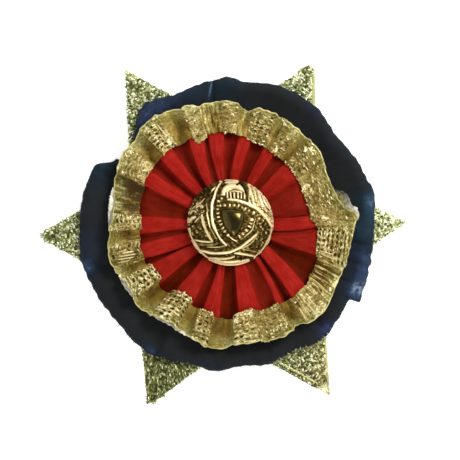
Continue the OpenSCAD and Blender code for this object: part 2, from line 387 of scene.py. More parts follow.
star = {
    "middle": (1.24, 0.37),
    # points in turn, the lower right one last: angle and reach
    "tips": [(3.2, 44.1), (62.9, 46.6), (122.1, 47.5), (181.8, 46.8), (245.5, 46.4), (302.2, 47.9)],
    "notchShare": 0.577,         # how far a notch reaches, as a share of the tips beside it
    # tips with more corners than one
    "bluntTips": {1: [(21.8, 39.7), (21.4, 41.1), (20.4, 41.7), (18.5, 41.1), (17.6, 39.9)],
                  3: [(-45.3, 0.5), (-46.3, -0.6), (-45.5, -1.9)],
                  4: [(-19.9, -42.3), (-18.3, -42.2), (-16.3, -40.6)]},
    "spread": 1.009,             # the cloth's cut edge stands this much outside its stiffening
    "roundEdge": 0.8,            # mm of the edge that rolls over
    "fray": 0.05,                # mm of unevenness along the edge
    "shortSide": 10,             # mm; the edge of a shorter side is more even
    "nap": 0.09,                 # mm of relief in the coarse weave
    "alongEdge": 45,             # points along each side
    "selvages": {1: 0.85, 18: 0.5},  # sides that end in a plain woven edge, and its width in mm
    "ravelled": 17,              # the side that ravels most
    # how thick and long the loops are, and how pale they are, towards each angle
    "coarse": [(3.9, 1.5), (62.9, 1.2), (122.1, 1.4), (181.8, 1.0), (302.2, 1.1)],
    "tones": [
        (3.9, 0.19), (62.9, 0.12), (122.1, -0.04), (181.8, 0.06), (245.5, -0.17), (299, -0.08), (303, 0.05),
        (308, -0.06)],
    "combed": (245.5, 8),        # the tip whose loops all lie one way, and how far round
    "strands": 14000,            # tinsel loops, most of them under the velvet and left out
    "fringe": 1500,              # of them, along the cut edge, a quarter on the side that ravels
    # loose ends: how many, half width in mm and tint, each from and to
    "fan": {"count": 90, "thick": (0.04, 0.08), "tint": (0.3, 1.0)},
    "tassel": {"count": 30, "thick": (0.08, 0.16), "tint": (0.2, 0.9)},
    "hairs": {"count": 46, "thick": (0.04, 0.07), "tint": (0.1, 0.9)},
    "tasselled": [0, 8, 10, 11, 12, 14, 15, 16],  # corners with a tassel
    "hairy": (287, 312),         # degrees along the velvet's rim, where hairs stand up over it
    # colours from shade to glint, on most of the cloth and where it has faded
    "green": [(0.14, 50, 55, 20), (0.34, 104, 109, 54), (0.54, 166, 171, 108), (0.82, 250, 252, 216)],
    "faded": [(0.14, 66, 58, 18), (0.34, 122, 112, 54), (0.54, 180, 170, 108), (0.82, 252, 248, 214)],
}


def starCorners():
    # tips and notches in turn, in mm round the star's middle. A notch lies halfway between two
    # tips and reaches a share of their mean
    corners = []
    tips = star["tips"]
    for k, (angle, reach) in enumerate(tips):
        nextAngle, nextReach = tips[(k + 1) % len(tips)]
        between = angle + ((nextAngle - angle) % 360) / 2
        notch = star["notchShare"] * (reach + nextReach) / 2
        corners += star["bluntTips"].get(k, [reach * pointing(math.radians(angle))])
        corners.append(notch * pointing(math.radians(between)))
    return np.array(corners) * star["spread"]


def inSelvage(side, rim, margin=0.0):
    # whether a place rim mm in from the edge of a side lies on that side's plain woven edge
    widths = star["selvages"].items()
    return rim < np.select([side == k for k, _ in widths], [wide + margin for _, wide in widths], 0.0)


def starPoints():
    # walk round the outline from corner to corner; each point of it is joined to the middle by
    # a spoke, and the cloth runs out along the spoke on top and back underneath. At its edge
    # the thickness falls off as a quarter of a circle
    corners = starCorners()
    after = np.roll(corners, -1, axis=0)
    t = np.linspace(0, 1, star["alongEdge"], endpoint=False)[None, :, None]
    edge = mix(corners[:, None], after[:, None], t).reshape(-1, 2)
    side = np.arange(len(edge)) // star["alongEdge"]
    outward = (after - corners)[side][:, ::-1] * [1, -1]
    long = np.linalg.norm(outward, axis=1, keepdims=True)
    outward /= long
    reachIn = (edge * outward).sum(axis=1)           # from the middle to this side's line
    # less on short sides, whose points lie so close that they would pass one another
    fray = star["fray"] * np.minimum(long / star["shortSide"], 1)
    turn = np.arange(len(edge)) * 360 / len(edge)
    edge = edge + outward * fray * ripple(3, turn, waves=(60, 340), count=12)[:, None]

    low, high = level("star", False), level("star", True)
    half = (high - low) / 2
    share = np.r_[0, np.linspace(0.3, 0.93, 40), np.linspace(0.94, 1, 12)]
    rim = (1 - share)[None, :] * reachIn[:, None]    # mm in from the edge
    thick = half * np.sqrt(np.clip(1 - (1 - np.clip(rim / star["roundEdge"], 0, 1)) ** 2, 0, 1))
    weave = ripple(5, turn[:, None], share[None, :] * 80, waves=(80, 300), steep=1.6, count=14)
    nap = star["nap"] * (weave * step(0, 0.5, share) * np.clip(rim / 0.5, 0, 1) - 1.2)
    flat = edge[:, None] * share[None, :, None] + star["middle"]
    top = np.dstack([flat, low + half + thick + nap])
    under = np.dstack([flat, low + half - thick])[:, -2::-1]
    hem = np.pad(inSelvage(side[:, None], rim), ((0, 0), (0, under.shape[1])))
    return np.concatenate([top, under], axis=1), top, outward, hem, reachIn


def starTone(p):
    # the cloth is paler towards some tips than others
    return around(star["tones"], 1, facing(p[..., :2] - star["middle"]))


def fanPaths(dice, t):
    # threads that have come loose from the last tip and lie spread out like a fan, in straight
    # lines between the directions of its two sides
    before, tip, after = starCorners()[-3:] + star["middle"]
    n = star["fan"]["count"]
    here, there = (before - tip) / np.linalg.norm(before - tip), (after - tip) / np.linalg.norm(after - tip)
    way = mix(here, there, dice.uniform(0.03, 0.97, n)[:, None])
    start, length = dice.uniform(0.15, 2.0, n)[:, None], dice.uniform(2.0, 3.6, n)[:, None]
    along = start + t * length
    rise = 0.4 * t * (1 - t) - 0.5 * np.clip(0.9 - along, 0, 1) ** 2
    return np.dstack([tip + along[..., None] * way[:, None], level("star", True) + 0.1 + rise])


def tasselPaths(dice, t):
    # short, stiff bits at the other tips: each starts a little behind its corner, on either
    # side of it, and points roughly outwards
    base = np.repeat(starCorners()[star["tasselled"]], star["tassel"]["count"], axis=0)
    n = len(base)
    toTip = np.arctan2(base[:, 1], base[:, 0])
    back, sideways = dice.uniform(0.2, 2.0, n)[:, None], dice.uniform(-0.45, 0.45, n)[:, None]
    start = base + star["middle"] + back * (sideways * pointing(toTip + np.pi / 2) - pointing(toTip))
    toTip = toTip + dice.uniform(-0.9, 0.9, n)
    reach = dice.uniform(0.5, 1.1, n)[:, None, None] * t[:, :, None]
    height = level("star", True) - dice.uniform(0.3, 0.9, n)[:, None] - 0.3 * t * t
    return np.dstack([start[:, None] + reach * pointing(toTip)[:, None], height])


def hairPaths(dice, t):
    # fine ends that rise beside the velvet and bend over its rim; five heights and reaches
    # along each of them give its shape
    n = star["hairs"]["count"]
    angle = dice.uniform(*star["hairy"], n)[:, None] + t * dice.uniform(-2, 2, n)[:, None]
    reach = np.array([0.5, 0.55, 0.4, 0, -0.5]) * dice.uniform(0.3, 1.8, n)[:, None]
    height = np.array([-0.1, 1.3, 2.4, 2.9, 3.1]) * dice.uniform(0.5, 1.0, n)[:, None]
    reach = around(velvet["rim"], 1, angle) + np.where(reach > 0.3, 0.45, reach)
    return polar(reach, angle, level("star", True) + height)


def starStrands(top, outward, reachIn):
    # tinsel loops that stand up out of the weave and hang over its cut edge. Each is an arc,
    # whose heading turns evenly while it runs on, and it starts anywhere on the cloth which
    # the velvet leaves bare. The loose ends follow them
    dice = np.random.default_rng(8)
    n = star["strands"]
    gone = lengths(top[:, -1])
    run = np.interp(dice.uniform(0, gone[-1], n), gone, np.arange(len(top)))
    share = dice.uniform(0.6, 1.0, n) ** 0.8
    fringe = np.arange(n) < star["fringe"]
    share[fringe] = dice.uniform(0.985, 0.998, fringe.sum())
    tuft = np.arange(n) < star["fringe"] // 4
    run[tuft] = (star["ravelled"] + dice.uniform(0, 1, tuft.sum())) * star["alongEdge"]
    spoke = np.linalg.norm(top[0, :, :2] - star["middle"], axis=1)
    at = onCloth(top, run, np.interp(share, spoke / spoke[-1], np.arange(len(spoke))))
    near = run.astype(int)
    fromMiddle = at[:, :2] - middle[:2]
    angle = facing(fromMiddle)
    toFan = at[:, :2] - starCorners()[-2] - star["middle"]
    bare = np.hypot(*fromMiddle.T) > around(velvet["rim"], 1, angle) - 1.2
    bare &= ~inSelvage(near // star["alongEdge"], (1 - share) * reachIn[near], 0.1)
    bare &= np.hypot(*toFan.T) > dice.uniform(3.6, 5.6, n)

    out = np.radians(facing(outward[near]))
    heading = np.where(fringe, out + dice.uniform(-1.4, 1.4, n), dice.uniform(0, 2 * np.pi, n))
    coarse = around(star["coarse"], 1, angle)
    length = dice.uniform(0.6, 1.2, n) * coarse * np.where(fringe, 0.8, 1) * np.where(tuft, 1.3, 1)
    curl = dice.uniform(0.3, 2.6, n) * dice.choice([-1, 1], n)
    combed = np.abs(apart(angle, star["combed"][0])) < star["combed"][1]
    heading = np.where(combed, np.pi / 2 + dice.uniform(-0.4, 0.4, n), heading)
    curl = np.where(combed, 0.3 * curl, curl)
    t = np.linspace(0, 1, 5)[None, :]
    first, turned = (heading - curl / 2)[:, None], heading[:, None] + curl[:, None] * (t - 0.5)
    arc = (length / curl)[:, None, None] * np.stack(
        [np.sin(turned) - np.sin(first), np.cos(first) - np.cos(turned)], axis=2)
    arc -= arc.mean(axis=1, keepdims=True)
    rise = 4 * t * (1 - t) * dice.uniform(0.05, 0.3, n)[:, None]
    paths = at[:, None] + np.dstack([arc, rise])
    thick = dice.uniform(0.13, 0.23, n) * coarse * np.where(fringe, 0.7, 1)
    # painted glints and shade: each loop's tint spreads wide at random
    tint = 0.53 + dice.normal(0, 0.35, n) * np.where(combed, 0.7, 1) + starTone(at) - 0.35 * tuft

    loose = {"fan": fanPaths(dice, t), "tassel": tasselPaths(dice, t), "hairs": hairPaths(dice, t)}
    thin, tones = ([dice.uniform(*star[kind][fact], len(ends)) for kind, ends in loose.items()]
                   for fact in ("thick", "tint"))
    return (np.concatenate([paths[bare], *loose.values()]), np.concatenate([thick[bare], *thin]),
            np.concatenate([np.clip(tint, 0, 1)[bare], *tones]))


def foldPath():
    # a strip of the cloth is folded up along the side before the last tip: a line a little in
    # from the edge, and rippled
    here, there = starCorners()[-3:-1] + star["middle"]
    t = np.linspace(0.32, 0.86, 50)
    out = (there - here)[::-1] * [1, -1] / np.linalg.norm(there - here)
    inset = 1.1 + 0.16 * ripple(9, t * 360, waves=(8, 34))
    height = level("star", True) + 0.3 + 0.05 * ripple(10, t * 360, waves=(3, 20))
    return np.column_stack([mix(here, there, t[:, None]) - out * inset[:, None], height])[None]


def tinselFinish(name, mark=None):
    # metal thread: each bit's brightness differs at random, painted glints and painted shade standing
    # in for bits that catch the light or go dark
    cloth = Finish(name, Specular_IOR_Level=0.4)
    where = cloth.place()
    broad = cloth.noise(where, 240.0, 3.0)
    fine = cloth.noise(where, 2600.0, 2.0)
    if mark:
        bright = cloth.mark(mark)
    else:
        hem = cloth.mark("hem")
        cell = cloth.split(cloth.cells(where, 1500.0))[0]
        bright = (cell * 0.6 + cloth.mark("tone")) * (1 - hem) + hem * 0.52
    # painted glints and shade: the random brightness of each cell, or each thread's tint, carries the tone
    tone = bright * 0.72 + broad * 0.24 + (fine - 0.5) * 0.3
    x, y, _ = cloth.split(where)
    faded = (x - y).span(0.045, 0.06, 0.0, 0.7)
    cloth.feed(
        Base_Color=cloth.blend(faded, cloth.ramp(tone, star["green"]), cloth.ramp(tone, star["faded"])),
        Metallic=fine.span(0.4, 0.7, 0.2, 0.6),
        Roughness=bright.span(0.3, 0.9, 0.55, 0.3),
        Normal=cloth.bump(fine, 0.0001))
    return cloth


points, starTop, starOut, starHem, starReach = starPoints()
starPiece = surface("starCloth", points[:, ::-1], roundU=True,
                    marks={"hem": starHem[:, ::-1], "tone": starTone(points)[:, ::-1]})
settle(starPiece, tinselFinish("tinselCloth"), ["star"])


velvet = {
    # angle, reach, how far the rim puffs up
    "rim": [
        (0, 36.0, 0.6), (13, 36.8, 1), (19, 35.8, 0.7), (40, 34.5, 1.1), (55, 36.3, 0.7), (70, 36.6, 1.1),
        (84, 35.7, 0.8), (91.5, 36.8, 1.2), (97, 36.1, -0.2), (113, 35.2, 0.8), (118, 35.7, 1.0),
        (121.5, 36.5, 1.3), (125, 36.9, 1.5), (128.5, 36.3, 1.3), (131.5, 35.2, 0.9), (135, 33.5, 0.4),
        (139, 32.3, 0.1), (143, 29, 0.1), (148, 29, 0.1), (151, 33, 0.3), (157.5, 37.1, 0.4),
        (172, 37.7, 1.1), (183, 37.8, 0.8), (194, 38.6, 1.2), (199, 38.3, 0), (204, 38, 1),
        (222, 37.6, 0.8), (233, 38.3, 1.1), (238, 38.4, 0.1), (244, 37.7, 1), (255, 36.5, 0.6),
        (263, 37.2, 1.1), (275, 35.8, 0.6), (285, 36.5, 1.1), (297, 35.6, 0.7), (307, 37, 1.1),
        (312, 36.9, 0), (317, 36.1, 1), (327.2, 35.3, 0.3), (328.6, 37.9, 0.9), (334, 37.1, 1.0),
        (340, 36.8, 1.1), (342, 36.3, 0.7), (344.5, 36.6, 1.0), (347, 36.1, 0.6), (349.5, 36.2, 1.0),
        (355, 36.0, 0.9)],
    # creases: angle, half width in degrees, depth, slant in degrees from hub to rim
    "creases": [
        (98.5, 1.0, 0.8, -2), (157, 1.2, 0.6, 2), (199, 2.0, 0.9, -2), (238, 1.6, 0.8, 2),
        (312, 1.8, 0.8, -3), (333, 1.2, 0.7, 1), (342, 1.4, 0.5, 0), (351, 0.9, 0.6, 0), (54, 1.6, 0.35, 2),
        (76, 1.4, 0.3, -2), (180, 1.4, 0.35, 2), (217, 1.4, 0.4, -1), (262, 1.6, 0.4, 2),
        (286, 1.4, 0.35, 0), (14, 1.5, 0.4, 2), (118, 1.4, 0.5, -2)],
    # painted sheen, where the pile would catch the light: angle, half width in degrees, radius,
    # half width in mm, how strongly, and from 0, teal, to 1, indigo
    "shine": [
        (9, 5.5, 35.4, 2.0, 0.52, 0.1), (2, 12, 33, 4, 0.25, 0), (356, 5, 33, 4, 0.2, 0.1),
        (54, 4, 35.5, 1.5, 0.18, 1), (92, 8, 34, 3, 0.28, 0.1), (98.5, 0.6, 34, 2.6, 0.7, 0.1),
        (110, 10, 33.5, 3, 0.3, 0.4), (126, 8, 34, 3.2, 0.72, 0.6), (156, 4, 35, 2.2, 0.42, 0),
        (165, 7, 34, 3, 0.2, 0), (190, 8, 35.5, 3, 0.3, 0.5), (197, 3.5, 37, 1.7, 0.65, 0.4),
        (238, 2.5, 37.4, 1.2, 0.65, 0.5), (262, 10, 36, 1.5, 0.12, 0.5), (312, 3.5, 35.4, 1.6, 0.6, 1),
        (332, 4.8, 35.4, 2.4, 0.95, 0.35), (341, 6, 35, 2.2, 0.5, 0.6), (347, 4, 33, 3, 0.35, 0.6)],
    # section: share of the way out, mm in from the rim, height as a share, puff
    "section": [
        (0, 0, 1, 0), (0.25, 0, 1, 0), (0.5, 0, 1, 0), (0.68, 0, 1, 0), (0.78, 0, 1, 0.02),
        (0.84, 0, 1, 0.1), (1, 4.6, 1, 0.25), (1, 3.8, 1, 0.5), (1, 3.0, 1.02, 0.8), (1, 2.3, 1.02, 1),
        (1, 1.6, 0.98, 1), (1, 1.0, 0.9, 0.85), (1, 0.5, 0.8, 0.6), (1, 0.15, 0.68, 0.3), (1, 0, 0.5, 0.1),
        (1, 0.15, 0.32, 0), (1, 0.6, 0.15, 0), (1, 1.3, 0.05, 0), (1, 2.4, 0, 0), (0.8, 0, 0, 0),
        (0.5, 0, 0, 0), (0.25, 0, 0, 0), (0, 0, 0, 0)],
    "thickness": 2.2,
    "puff": 0.7,                 # mm for 1 in the rim's rows
    "crease": 0.8,               # mm for 1 in the creases' rows
    "holeRadius": 3.6,
    "columns": 900,
    "lint": 700,                 # stray fibres along the rim
    "lintRows": (11.6, 14.5),    # where they stand, in rows of the section
    # colours from where the pile lies flat and dark to where it has the most painted sheen
    "teal": [(0.0, 24, 26, 27), (0.25, 18, 33, 41), (0.55, 33, 56, 72), (0.95, 112, 130, 146)],
    "indigo": [(0.0, 24, 26, 27), (0.25, 26, 30, 50), (0.55, 46, 52, 86), (0.95, 112, 124, 156)],
    "fibre": [(0.3, 26, 30, 38), (0.7, 60, 76, 100), (1.0, 150, 168, 190)],
    "sheen": (110, 130, 170),
}


def velvetPoints():
    # a closed section, flat on top, rolled over at the rim and flat below, is carried round the
    # middle; its reach and puff change with the angle, and creases run out across the roll
    a = (np.arange(velvet["columns"]) * 360 / velvet["columns"])[:, None]
    reach = around(velvet["rim"], 1, a) + 0.09 * ripple(11, a, waves=(12, 90), count=12)
    out, inset, height, puffed = np.array(velvet["section"]).T[:, None, :]
    r = mix(velvet["holeRadius"], reach, out) - inset
    puff = velvet["puff"] * around(velvet["rim"], 2, a)
    z = level("velvet_disc", False) + velvet["thickness"] * height + puff * puffed
    onTop = np.clip((height - 0.4) * 3, 0, 1) * step(22, 33, r)
    for at, half, depth, slant in velvet["creases"]:
        off = apart(a, at + slant * (r - 30) / 8)
        z = z - velvet["crease"] * depth * np.exp(-((off / half) ** 2)) * onTop
    z = z + 0.06 * onTop * ripple(13, a, r, waves=(25, 90), steep=0.8, count=12)
    z = z + 0.1 * onTop * ripple(14, a, r, waves=(8, 30), steep=0.5, count=8)
    # painted sheen: a little all along the rim, and in the spots of the table, each teal or indigo
    shine, hue = 0.1 * step(-1.6, -0.2, r - reach), 0.0
    for at, half, ring, halfRing, strong, indigo in velvet["shine"]:
        off = apart(a, at + (0.6 * (34 - r) if half < 1 else 0))      # the narrow one is slanted
        spot = strong * np.exp(-((off / half) ** 2) - ((r - ring) / halfRing) ** 2)
        shine, hue = shine + spot, hue + spot * indigo
    return polar(r, a, z), shine, hue / np.maximum(shine, 0.01)


def velvetFinish():
    # short pile: near black, and teal or indigo with painted sheen where the pile would catch the light
    cloth = Finish("navyVelvet", Roughness=0.85, Specular_IOR_Level=0.12, Sheen_Weight=0.14,
                   Sheen_Roughness=0.3, Sheen_Tint=paint(*velvet["sheen"]))
    where = cloth.place()
    shine = cloth.mark("shine")
    brushed = cloth.noise(where, 130.0, 2.0, 0.55)
    pile = cloth.noise(where, 5200.0, 2.0, 0.6)
    crushed = cloth.noise(where, 800.0, 3.0, 0.65, 0.6)
    tone = (shine * (0.78 + (brushed - 0.5) * 0.9) + (crushed - 0.5) * shine * shine * 1.6
            + (brushed - 0.5) * 0.12)
    cloth.feed(
        Base_Color=cloth.blend(
            cloth.mark("hue"), cloth.ramp(tone, velvet["teal"]), cloth.ramp(tone, velvet["indigo"])),
        Normal=cloth.bump(pile * 0.7 + brushed * 0.6, 0.00012))
    return cloth


def lintFinish():
    # stray fibres, most of them as dark as the pile
    fibre = Finish("velvetLint", Specular_IOR_Level=0.2)
    tone = fibre.mark("tint") + (fibre.noise(fibre.place(), 1800.0) - 0.5) * 0.3
    fibre.feed(Base_Color=fibre.ramp(tone, velvet["fibre"]), Roughness=tone.span(0.2, 0.9, 0.8, 0.6))
    return fibre


def lintStrands(p):
    # fibres that stand out from the rolled rim, more or less along the way it faces, and bend
    # with the square of their length
    dice = np.random.default_rng(17)
    n = velvet["lint"]
    at = onCloth(p, dice.uniform(0, len(p), n), dice.uniform(*velvet["lintRows"], n))
    angle = np.radians(facing(at - middle)) + dice.uniform(-1.2, 1.2, n)
    t = np.linspace(0, 1, 4)[None, :, None]
    way = np.column_stack([pointing(angle), dice.uniform(-0.2, 0.5, n)])[:, None]
    length = dice.uniform(0.2, 0.65, n)[:, None, None]
    paths = at[:, None] + (t * way + dice.uniform(-0.2, 0.2, (n, 1, 3)) * t * t) * length
    return paths, dice.uniform(0.04, 0.07, n), np.clip(dice.normal(0.34, 0.3, n), 0, 1)


threadFinish = tinselFinish("tinselThread", "tint")
loops = starStrands(starTop, starOut, starReach)
settle(strands("starTinsel", *loops, sides=4), threadFinish)
fold = strands("starFold", foldPath(), np.array([0.22]), np.array([0.62]), sides=12, flat=0.6)
settle(fold, threadFinish)
print("star ready:", len(loops[0]), "strands")

points, shine, hue = velvetPoints()
velvetPiece = surface("velvetDisc", points[:, ::-1], roundU=True, roundV=True,
                      marks={"shine": shine[:, ::-1], "hue": hue[:, ::-1]})
velvetLint = settle(strands("velvetLint", *lintStrands(points), sides=3), lintFinish())
settle(velvetPiece, velvetFinish(), ["velvet_disc"])
print("velvet ready")


ribbon = {
    # the gold ruffle. Crest from, to, seam and lift, how open its weave is, how streaky and how
    # pale; then the dip's seam and lift, how strong the painted shade in it is, and how streaky it is
    "ruffle": [
        (0.5, 31, 19.6, 1.05, 0.15, 0.1, -0.09, 19.8, 0.75, 0.4, 0),
        (33.5, 47.5, 20.0, 0.95, 0.4, 0, -0.16, 20.2, 0.35, 0.9, 0),
        (52.5, 62, 20.3, 0.9, 0.45, 0.2, -0.04, 20.5, 0.5, 0.8, 0),
        (65.5, 79.3, 20.8, 1.0, 0.65, 0, -0.13, 21.9, 0, 0.3, 0.3),
        (85.5, 95, 22.3, 0.95, 0.2, 0, -0.07, 22.8, 0.5, 0.8, 0.7),
        (104.5, 114, 21.5, 1.1, 0.35, 0, 0.11, 23.2, 0, 0.7, 0),
        (124, 135, 23.7, 0.95, 0.7, 0.4, 0.13, 23.7, 0, 1, 0),
        (142.5, 157, 23.7, 0.95, 0.3, 0.2, 0, 23.0, 0.3, 2.0, 0.75),
        (174.5, 184.5, 22.1, 1.0, 0.6, 0.2, -0.02, 22.8, 0.3, 0.95, 0.2),
        (190.5, 203, 23.2, 0.9, 0.5, 0.4, -0.2, 23.5, 0.15, 0.65, 0.2),
        (207.3, 218.7, 21.8, 1.05, 0.9, 0, 0.09, 23.8, 0, 1.0, 0),
        (228.5, 244, 21.0, 1.1, 0.85, 0, -0.01, 22.8, 0.1, 0.5, 0),
        (250, 260, 22.7, 0.95, 0.75, 0, 0.03, 24.1, 0, 0.95, 0),
        (271.5, 286, 22.2, 1.05, 0.6, 0, 0.14, 22.8, 0.75, 0.5, 0),
        (288, 301, 23.1, 0.85, 0.35, 0, -0.09, 23.9, 0, 0.9, 0),
        (307, 325.5, 24.2, 0.95, 0.25, 0.9, -0.07, 23.6, 0.1, 1.1, 1.2),
        (338, 359, 22.0, 1.0, 0.95, 0.1, -0.01, 21.0, 0.75, 0.4, 0)],
    # the ruffle's hem: angle and reach
    "hem": [
        (0, 31.3), (2, 31.8), (4, 31.4), (6, 29.8), (8.5, 28.4), (13, 27.3), (18, 26.9), (25, 26.8),
        (28, 27.0), (32, 27.6), (36, 28.2), (42, 28.6), (53, 28.7), (60, 29.1), (67, 29.4), (76, 29.4),
        (79, 28.9), (81, 28.5), (83, 28.9), (87, 29.9), (93, 30.5), (102, 30.5), (105, 30.1), (108, 30.9),
        (113, 31.2), (120, 32.4), (127, 32.7), (134, 32.5), (140, 31.8), (147, 31.9), (153, 31.6),
        (157, 31.1), (161, 30.8), (166, 30.1), (170, 29.4), (178, 29.4), (184, 30.3), (190, 31.2),
        (197, 31.5), (203, 31.3), (206, 30.7), (210, 29.9), (215, 30.0), (220, 31.2), (224, 31.3),
        (228, 30.6), (232, 29.6), (240, 28.9), (244, 29.6), (250, 30.3), (255, 30.8), (259, 31.6),
        (263, 31.9), (267, 31.5), (271, 30.5), (281, 30.3), (285, 30.5), (289, 31.1), (297, 31.3),
        (300, 31.1), (302, 30.4), (304, 30.8), (308, 31.7), (313, 32.1), (320, 31.9), (325, 31.1),
        (333, 30.7), (345, 30.4), (352, 30.4), (357, 30.8)],
    # the red pleats. Crest from, to, how far each side has turned where it reaches the hub, lift,
    # the dip's lift, and from 0 to 1 how much painted shade darkens the red on the crest and in the dip
    "pleats": [
        (-3, 4.5, -13, -1, 1.05, 0.85, 0.05, 0.6), (6, 30, -1, 0, 0.95, 0.85, 0.6, 0.45),
        (31.5, 48.5, 0, 1, 0.95, 0.1, 0.26, 0.75), (56.5, 66.5, 1, 6, 0.9, 0.1, 0.15, 0.85),
        (75, 84.5, 7, 10, 1, 0, 0, 0.6), (94, 104.5, 6, 3, 0.9, 0.4, 0.1, 0.75),
        (108, 116.8, 10, 11, 1.1, 0, 0, 0.7), (128, 138, 3, 6, 0.95, 0, 0, 0.6),
        (146.5, 157.5, 4, 4, 0.95, 0.1, 0, 0.85), (175.5, 187.5, 0, 1, 1, 0.3, 0.12, 0.8),
        (193, 202.5, -1, 9, 0.9, 0.2, 0.15, 0.75), (207.5, 221, 2, 2, 1.05, 0, 0.28, 1.1),
        (230.5, 245, 2, 3, 1.1, 0.1, 0.26, 0.85), (251.5, 264, 4, -1, 0.95, 0, 0.1, 1.15),
        (275, 289.5, 0, 1, 1.05, 0.35, 0, 0.8), (299, 303, 8, 10, 0.95, 0.1, 0.05, 0.9),
        (309, 320.5, 6, 11, 0.95, 0, 0, 1.05), (338.5, 355.5, -2, -13, 1, 0.7, 0.36, 0.7)],
    # underside over the velvet: radius, height in a dip, height on a crest
    "slope": [
        (3.2, 0.2, 0.7), (10.75, 0.3, 1.7), (17, 0.5, 2.7), (22.5, 0.5, 3.1), (28, 0.4, 3.2), (33, 0.3, 2.5)],
    "rise": 1.15,                # mm from the velvet up to where those heights count from
    "hub": 3.7,
    "flank": 3.0,                # widest run of a pleat's side, in degrees
    "tuck": 1.3,                 # how far a side goes back under its crest, in degrees
    "samplesABend": 7,
    "rows": (32, 34),            # points from the inner to the outer edge of the red and the gold
    "thickness": 0.38,
    "overlap": 1.6,              # how far the red runs on under the gold
    "threads": 1500,             # loose threads on the gold, half of them kept
    "edgeThreads": 300,          # of them, along the raw inner edge
    # tangles of bright loops: angle, share of the way out, half width in degrees, how many
    "tangles": [
        (25, 0.16, 2.2, 26), (22, 0.3, 1.5, 8), (41, 0.82, 2.4, 18), (44, 0.7, 1.2, 8), (58, 0.1, 2, 16),
        (3, 0.3, 1.5, 10), (61, 0.86, 0.8, 6), (127, 0.2, 1, 8), (149, 0.18, 1.6, 14), (145, 0.85, 2, 14),
        (155, 0.8, 1.5, 8), (191.5, 0.7, 0.8, 8), (214, 0.12, 1.6, 10), (215, 0.7, 1.6, 12),
        (236, 0.1, 3, 8), (273, 0.2, 1.2, 14), (280, 0.08, 2, 12), (295, 0.7, 3, 12), (316, 0.85, 3, 16),
        (326.5, 0.86, 0.6, 14), (345, 0.3, 2, 10)],
    # long stitches: angle at the inner and outer end, start and end as shares of the way out,
    # and width in mm
    "stitches": [
        (197.2, 195.2, 0.2, 0.6, 0.46), (198.8, 196.6, 0.16, 0.72, 0.44), (200.2, 197.9, 0.24, 0.8, 0.42),
        (201.2, 199.4, 0.4, 0.85, 0.36), (195.6, 194.4, 0.4, 0.7, 0.34), (184.0, 184.0, 0.03, 0.97, 0.44),
        (178.0, 178.0, 0.1, 0.6, 0.3), (182.2, 182.2, 0.3, 0.8, 0.28), (309.4, 307.9, 0.35, 0.9, 0.36),
        (311.6, 310.2, 0.3, 0.85, 0.32), (314.0, 312.8, 0.4, 0.9, 0.36), (316.4, 315.6, 0.35, 0.75, 0.3),
        (319.6, 319.4, 0.1, 0.4, 0.34), (323.4, 323.0, 0.1, 0.45, 0.34), (331.2, 330.4, 0.05, 0.4, 0.38),
        (328.4, 327.8, 0.08, 0.45, 0.34), (334.0, 333.0, 0.1, 0.35, 0.3), (340.2, 339.9, 0.15, 0.7, 0.32),
        (342.0, 342.0, 0.1, 0.55, 0.3), (344.2, 344.4, 0.2, 0.5, 0.3), (126.6, 126.8, 0.35, 0.8, 0.36),
        (128.6, 129, 0.25, 0.55, 0.3), (240.6, 240.8, 0.1, 0.5, 0.26)],
    # wisps of the lining past the hem: angle and reach along the outer edge of each
    "scraps": [
        [(-2, 30.6), (1.5, 31.8), (3.8, 32.3), (5.6, 31.9), (7.0, 31.9), (8.2, 30.7), (10, 30.4),
         (13.2, 30.1), (15.7, 29.2), (17.6, 27.4)],
        [(163, 30.7), (167, 30.8), (173, 30.7), (179, 30.5), (183.5, 30.3)],
        [(205, 30.7), (208, 31.0), (212, 30.9), (217.5, 30.6)],
        [(229, 30.0), (232, 30.2), (236, 29.9), (241, 29.6)],
        [(239, 29.4), (242, 29.9), (246, 30.2), (251, 30.3)]],
    "scrapHeights": (11.3, 11.9),  # of their inner and outer edge, in mm
    "scrapThickness": 0.12,
    # colours from shade to glint: the red on a crest and, painted with shade, in a dip; then the
    # gold's crossing threads, its dips, partly painted shade, and what lies beside its hem, and the
    # slots, painted dark as shade, and the hem themselves
    "red": [(0.3, 124, 18, 12), (0.5, 140, 27, 20), (0.72, 158, 40, 34)],
    "shadedRed": [(0.3, 64, 15, 2), (0.7, 88, 21, 4)],
    "crossing": [
        (0.08, 62, 48, 12), (0.3, 110, 90, 38), (0.5, 148, 131, 74), (0.7, 202, 187, 128),
        (0.92, 252, 243, 206)],
    "dips": [(0.1, 60, 42, 6), (0.34, 112, 88, 26), (0.56, 146, 125, 56), (0.8, 200, 184, 116)],
    "nearHem": [(0.12, 70, 68, 22), (0.34, 108, 107, 48), (0.52, 146, 144, 84), (0.9, 240, 240, 196)],
    "slotShade": (44, 32, 4),
    "hemEdge": (204, 194, 134),
    "thread": [(0.1, 96, 76, 24), (0.45, 168, 148, 80), (0.9, 250, 240, 192)],
    # the lining beside the hem, further out, and where it bunches up
    "gauze": [(0.3, 104, 98, 54), (0.5, 146, 140, 94), (0.7, 186, 180, 132)],
    "veil": [(0.3, 74, 72, 66), (0.7, 126, 122, 108)],
    "cream": [(0.3, 176, 170, 140), (0.68, 255, 252, 236)],
}


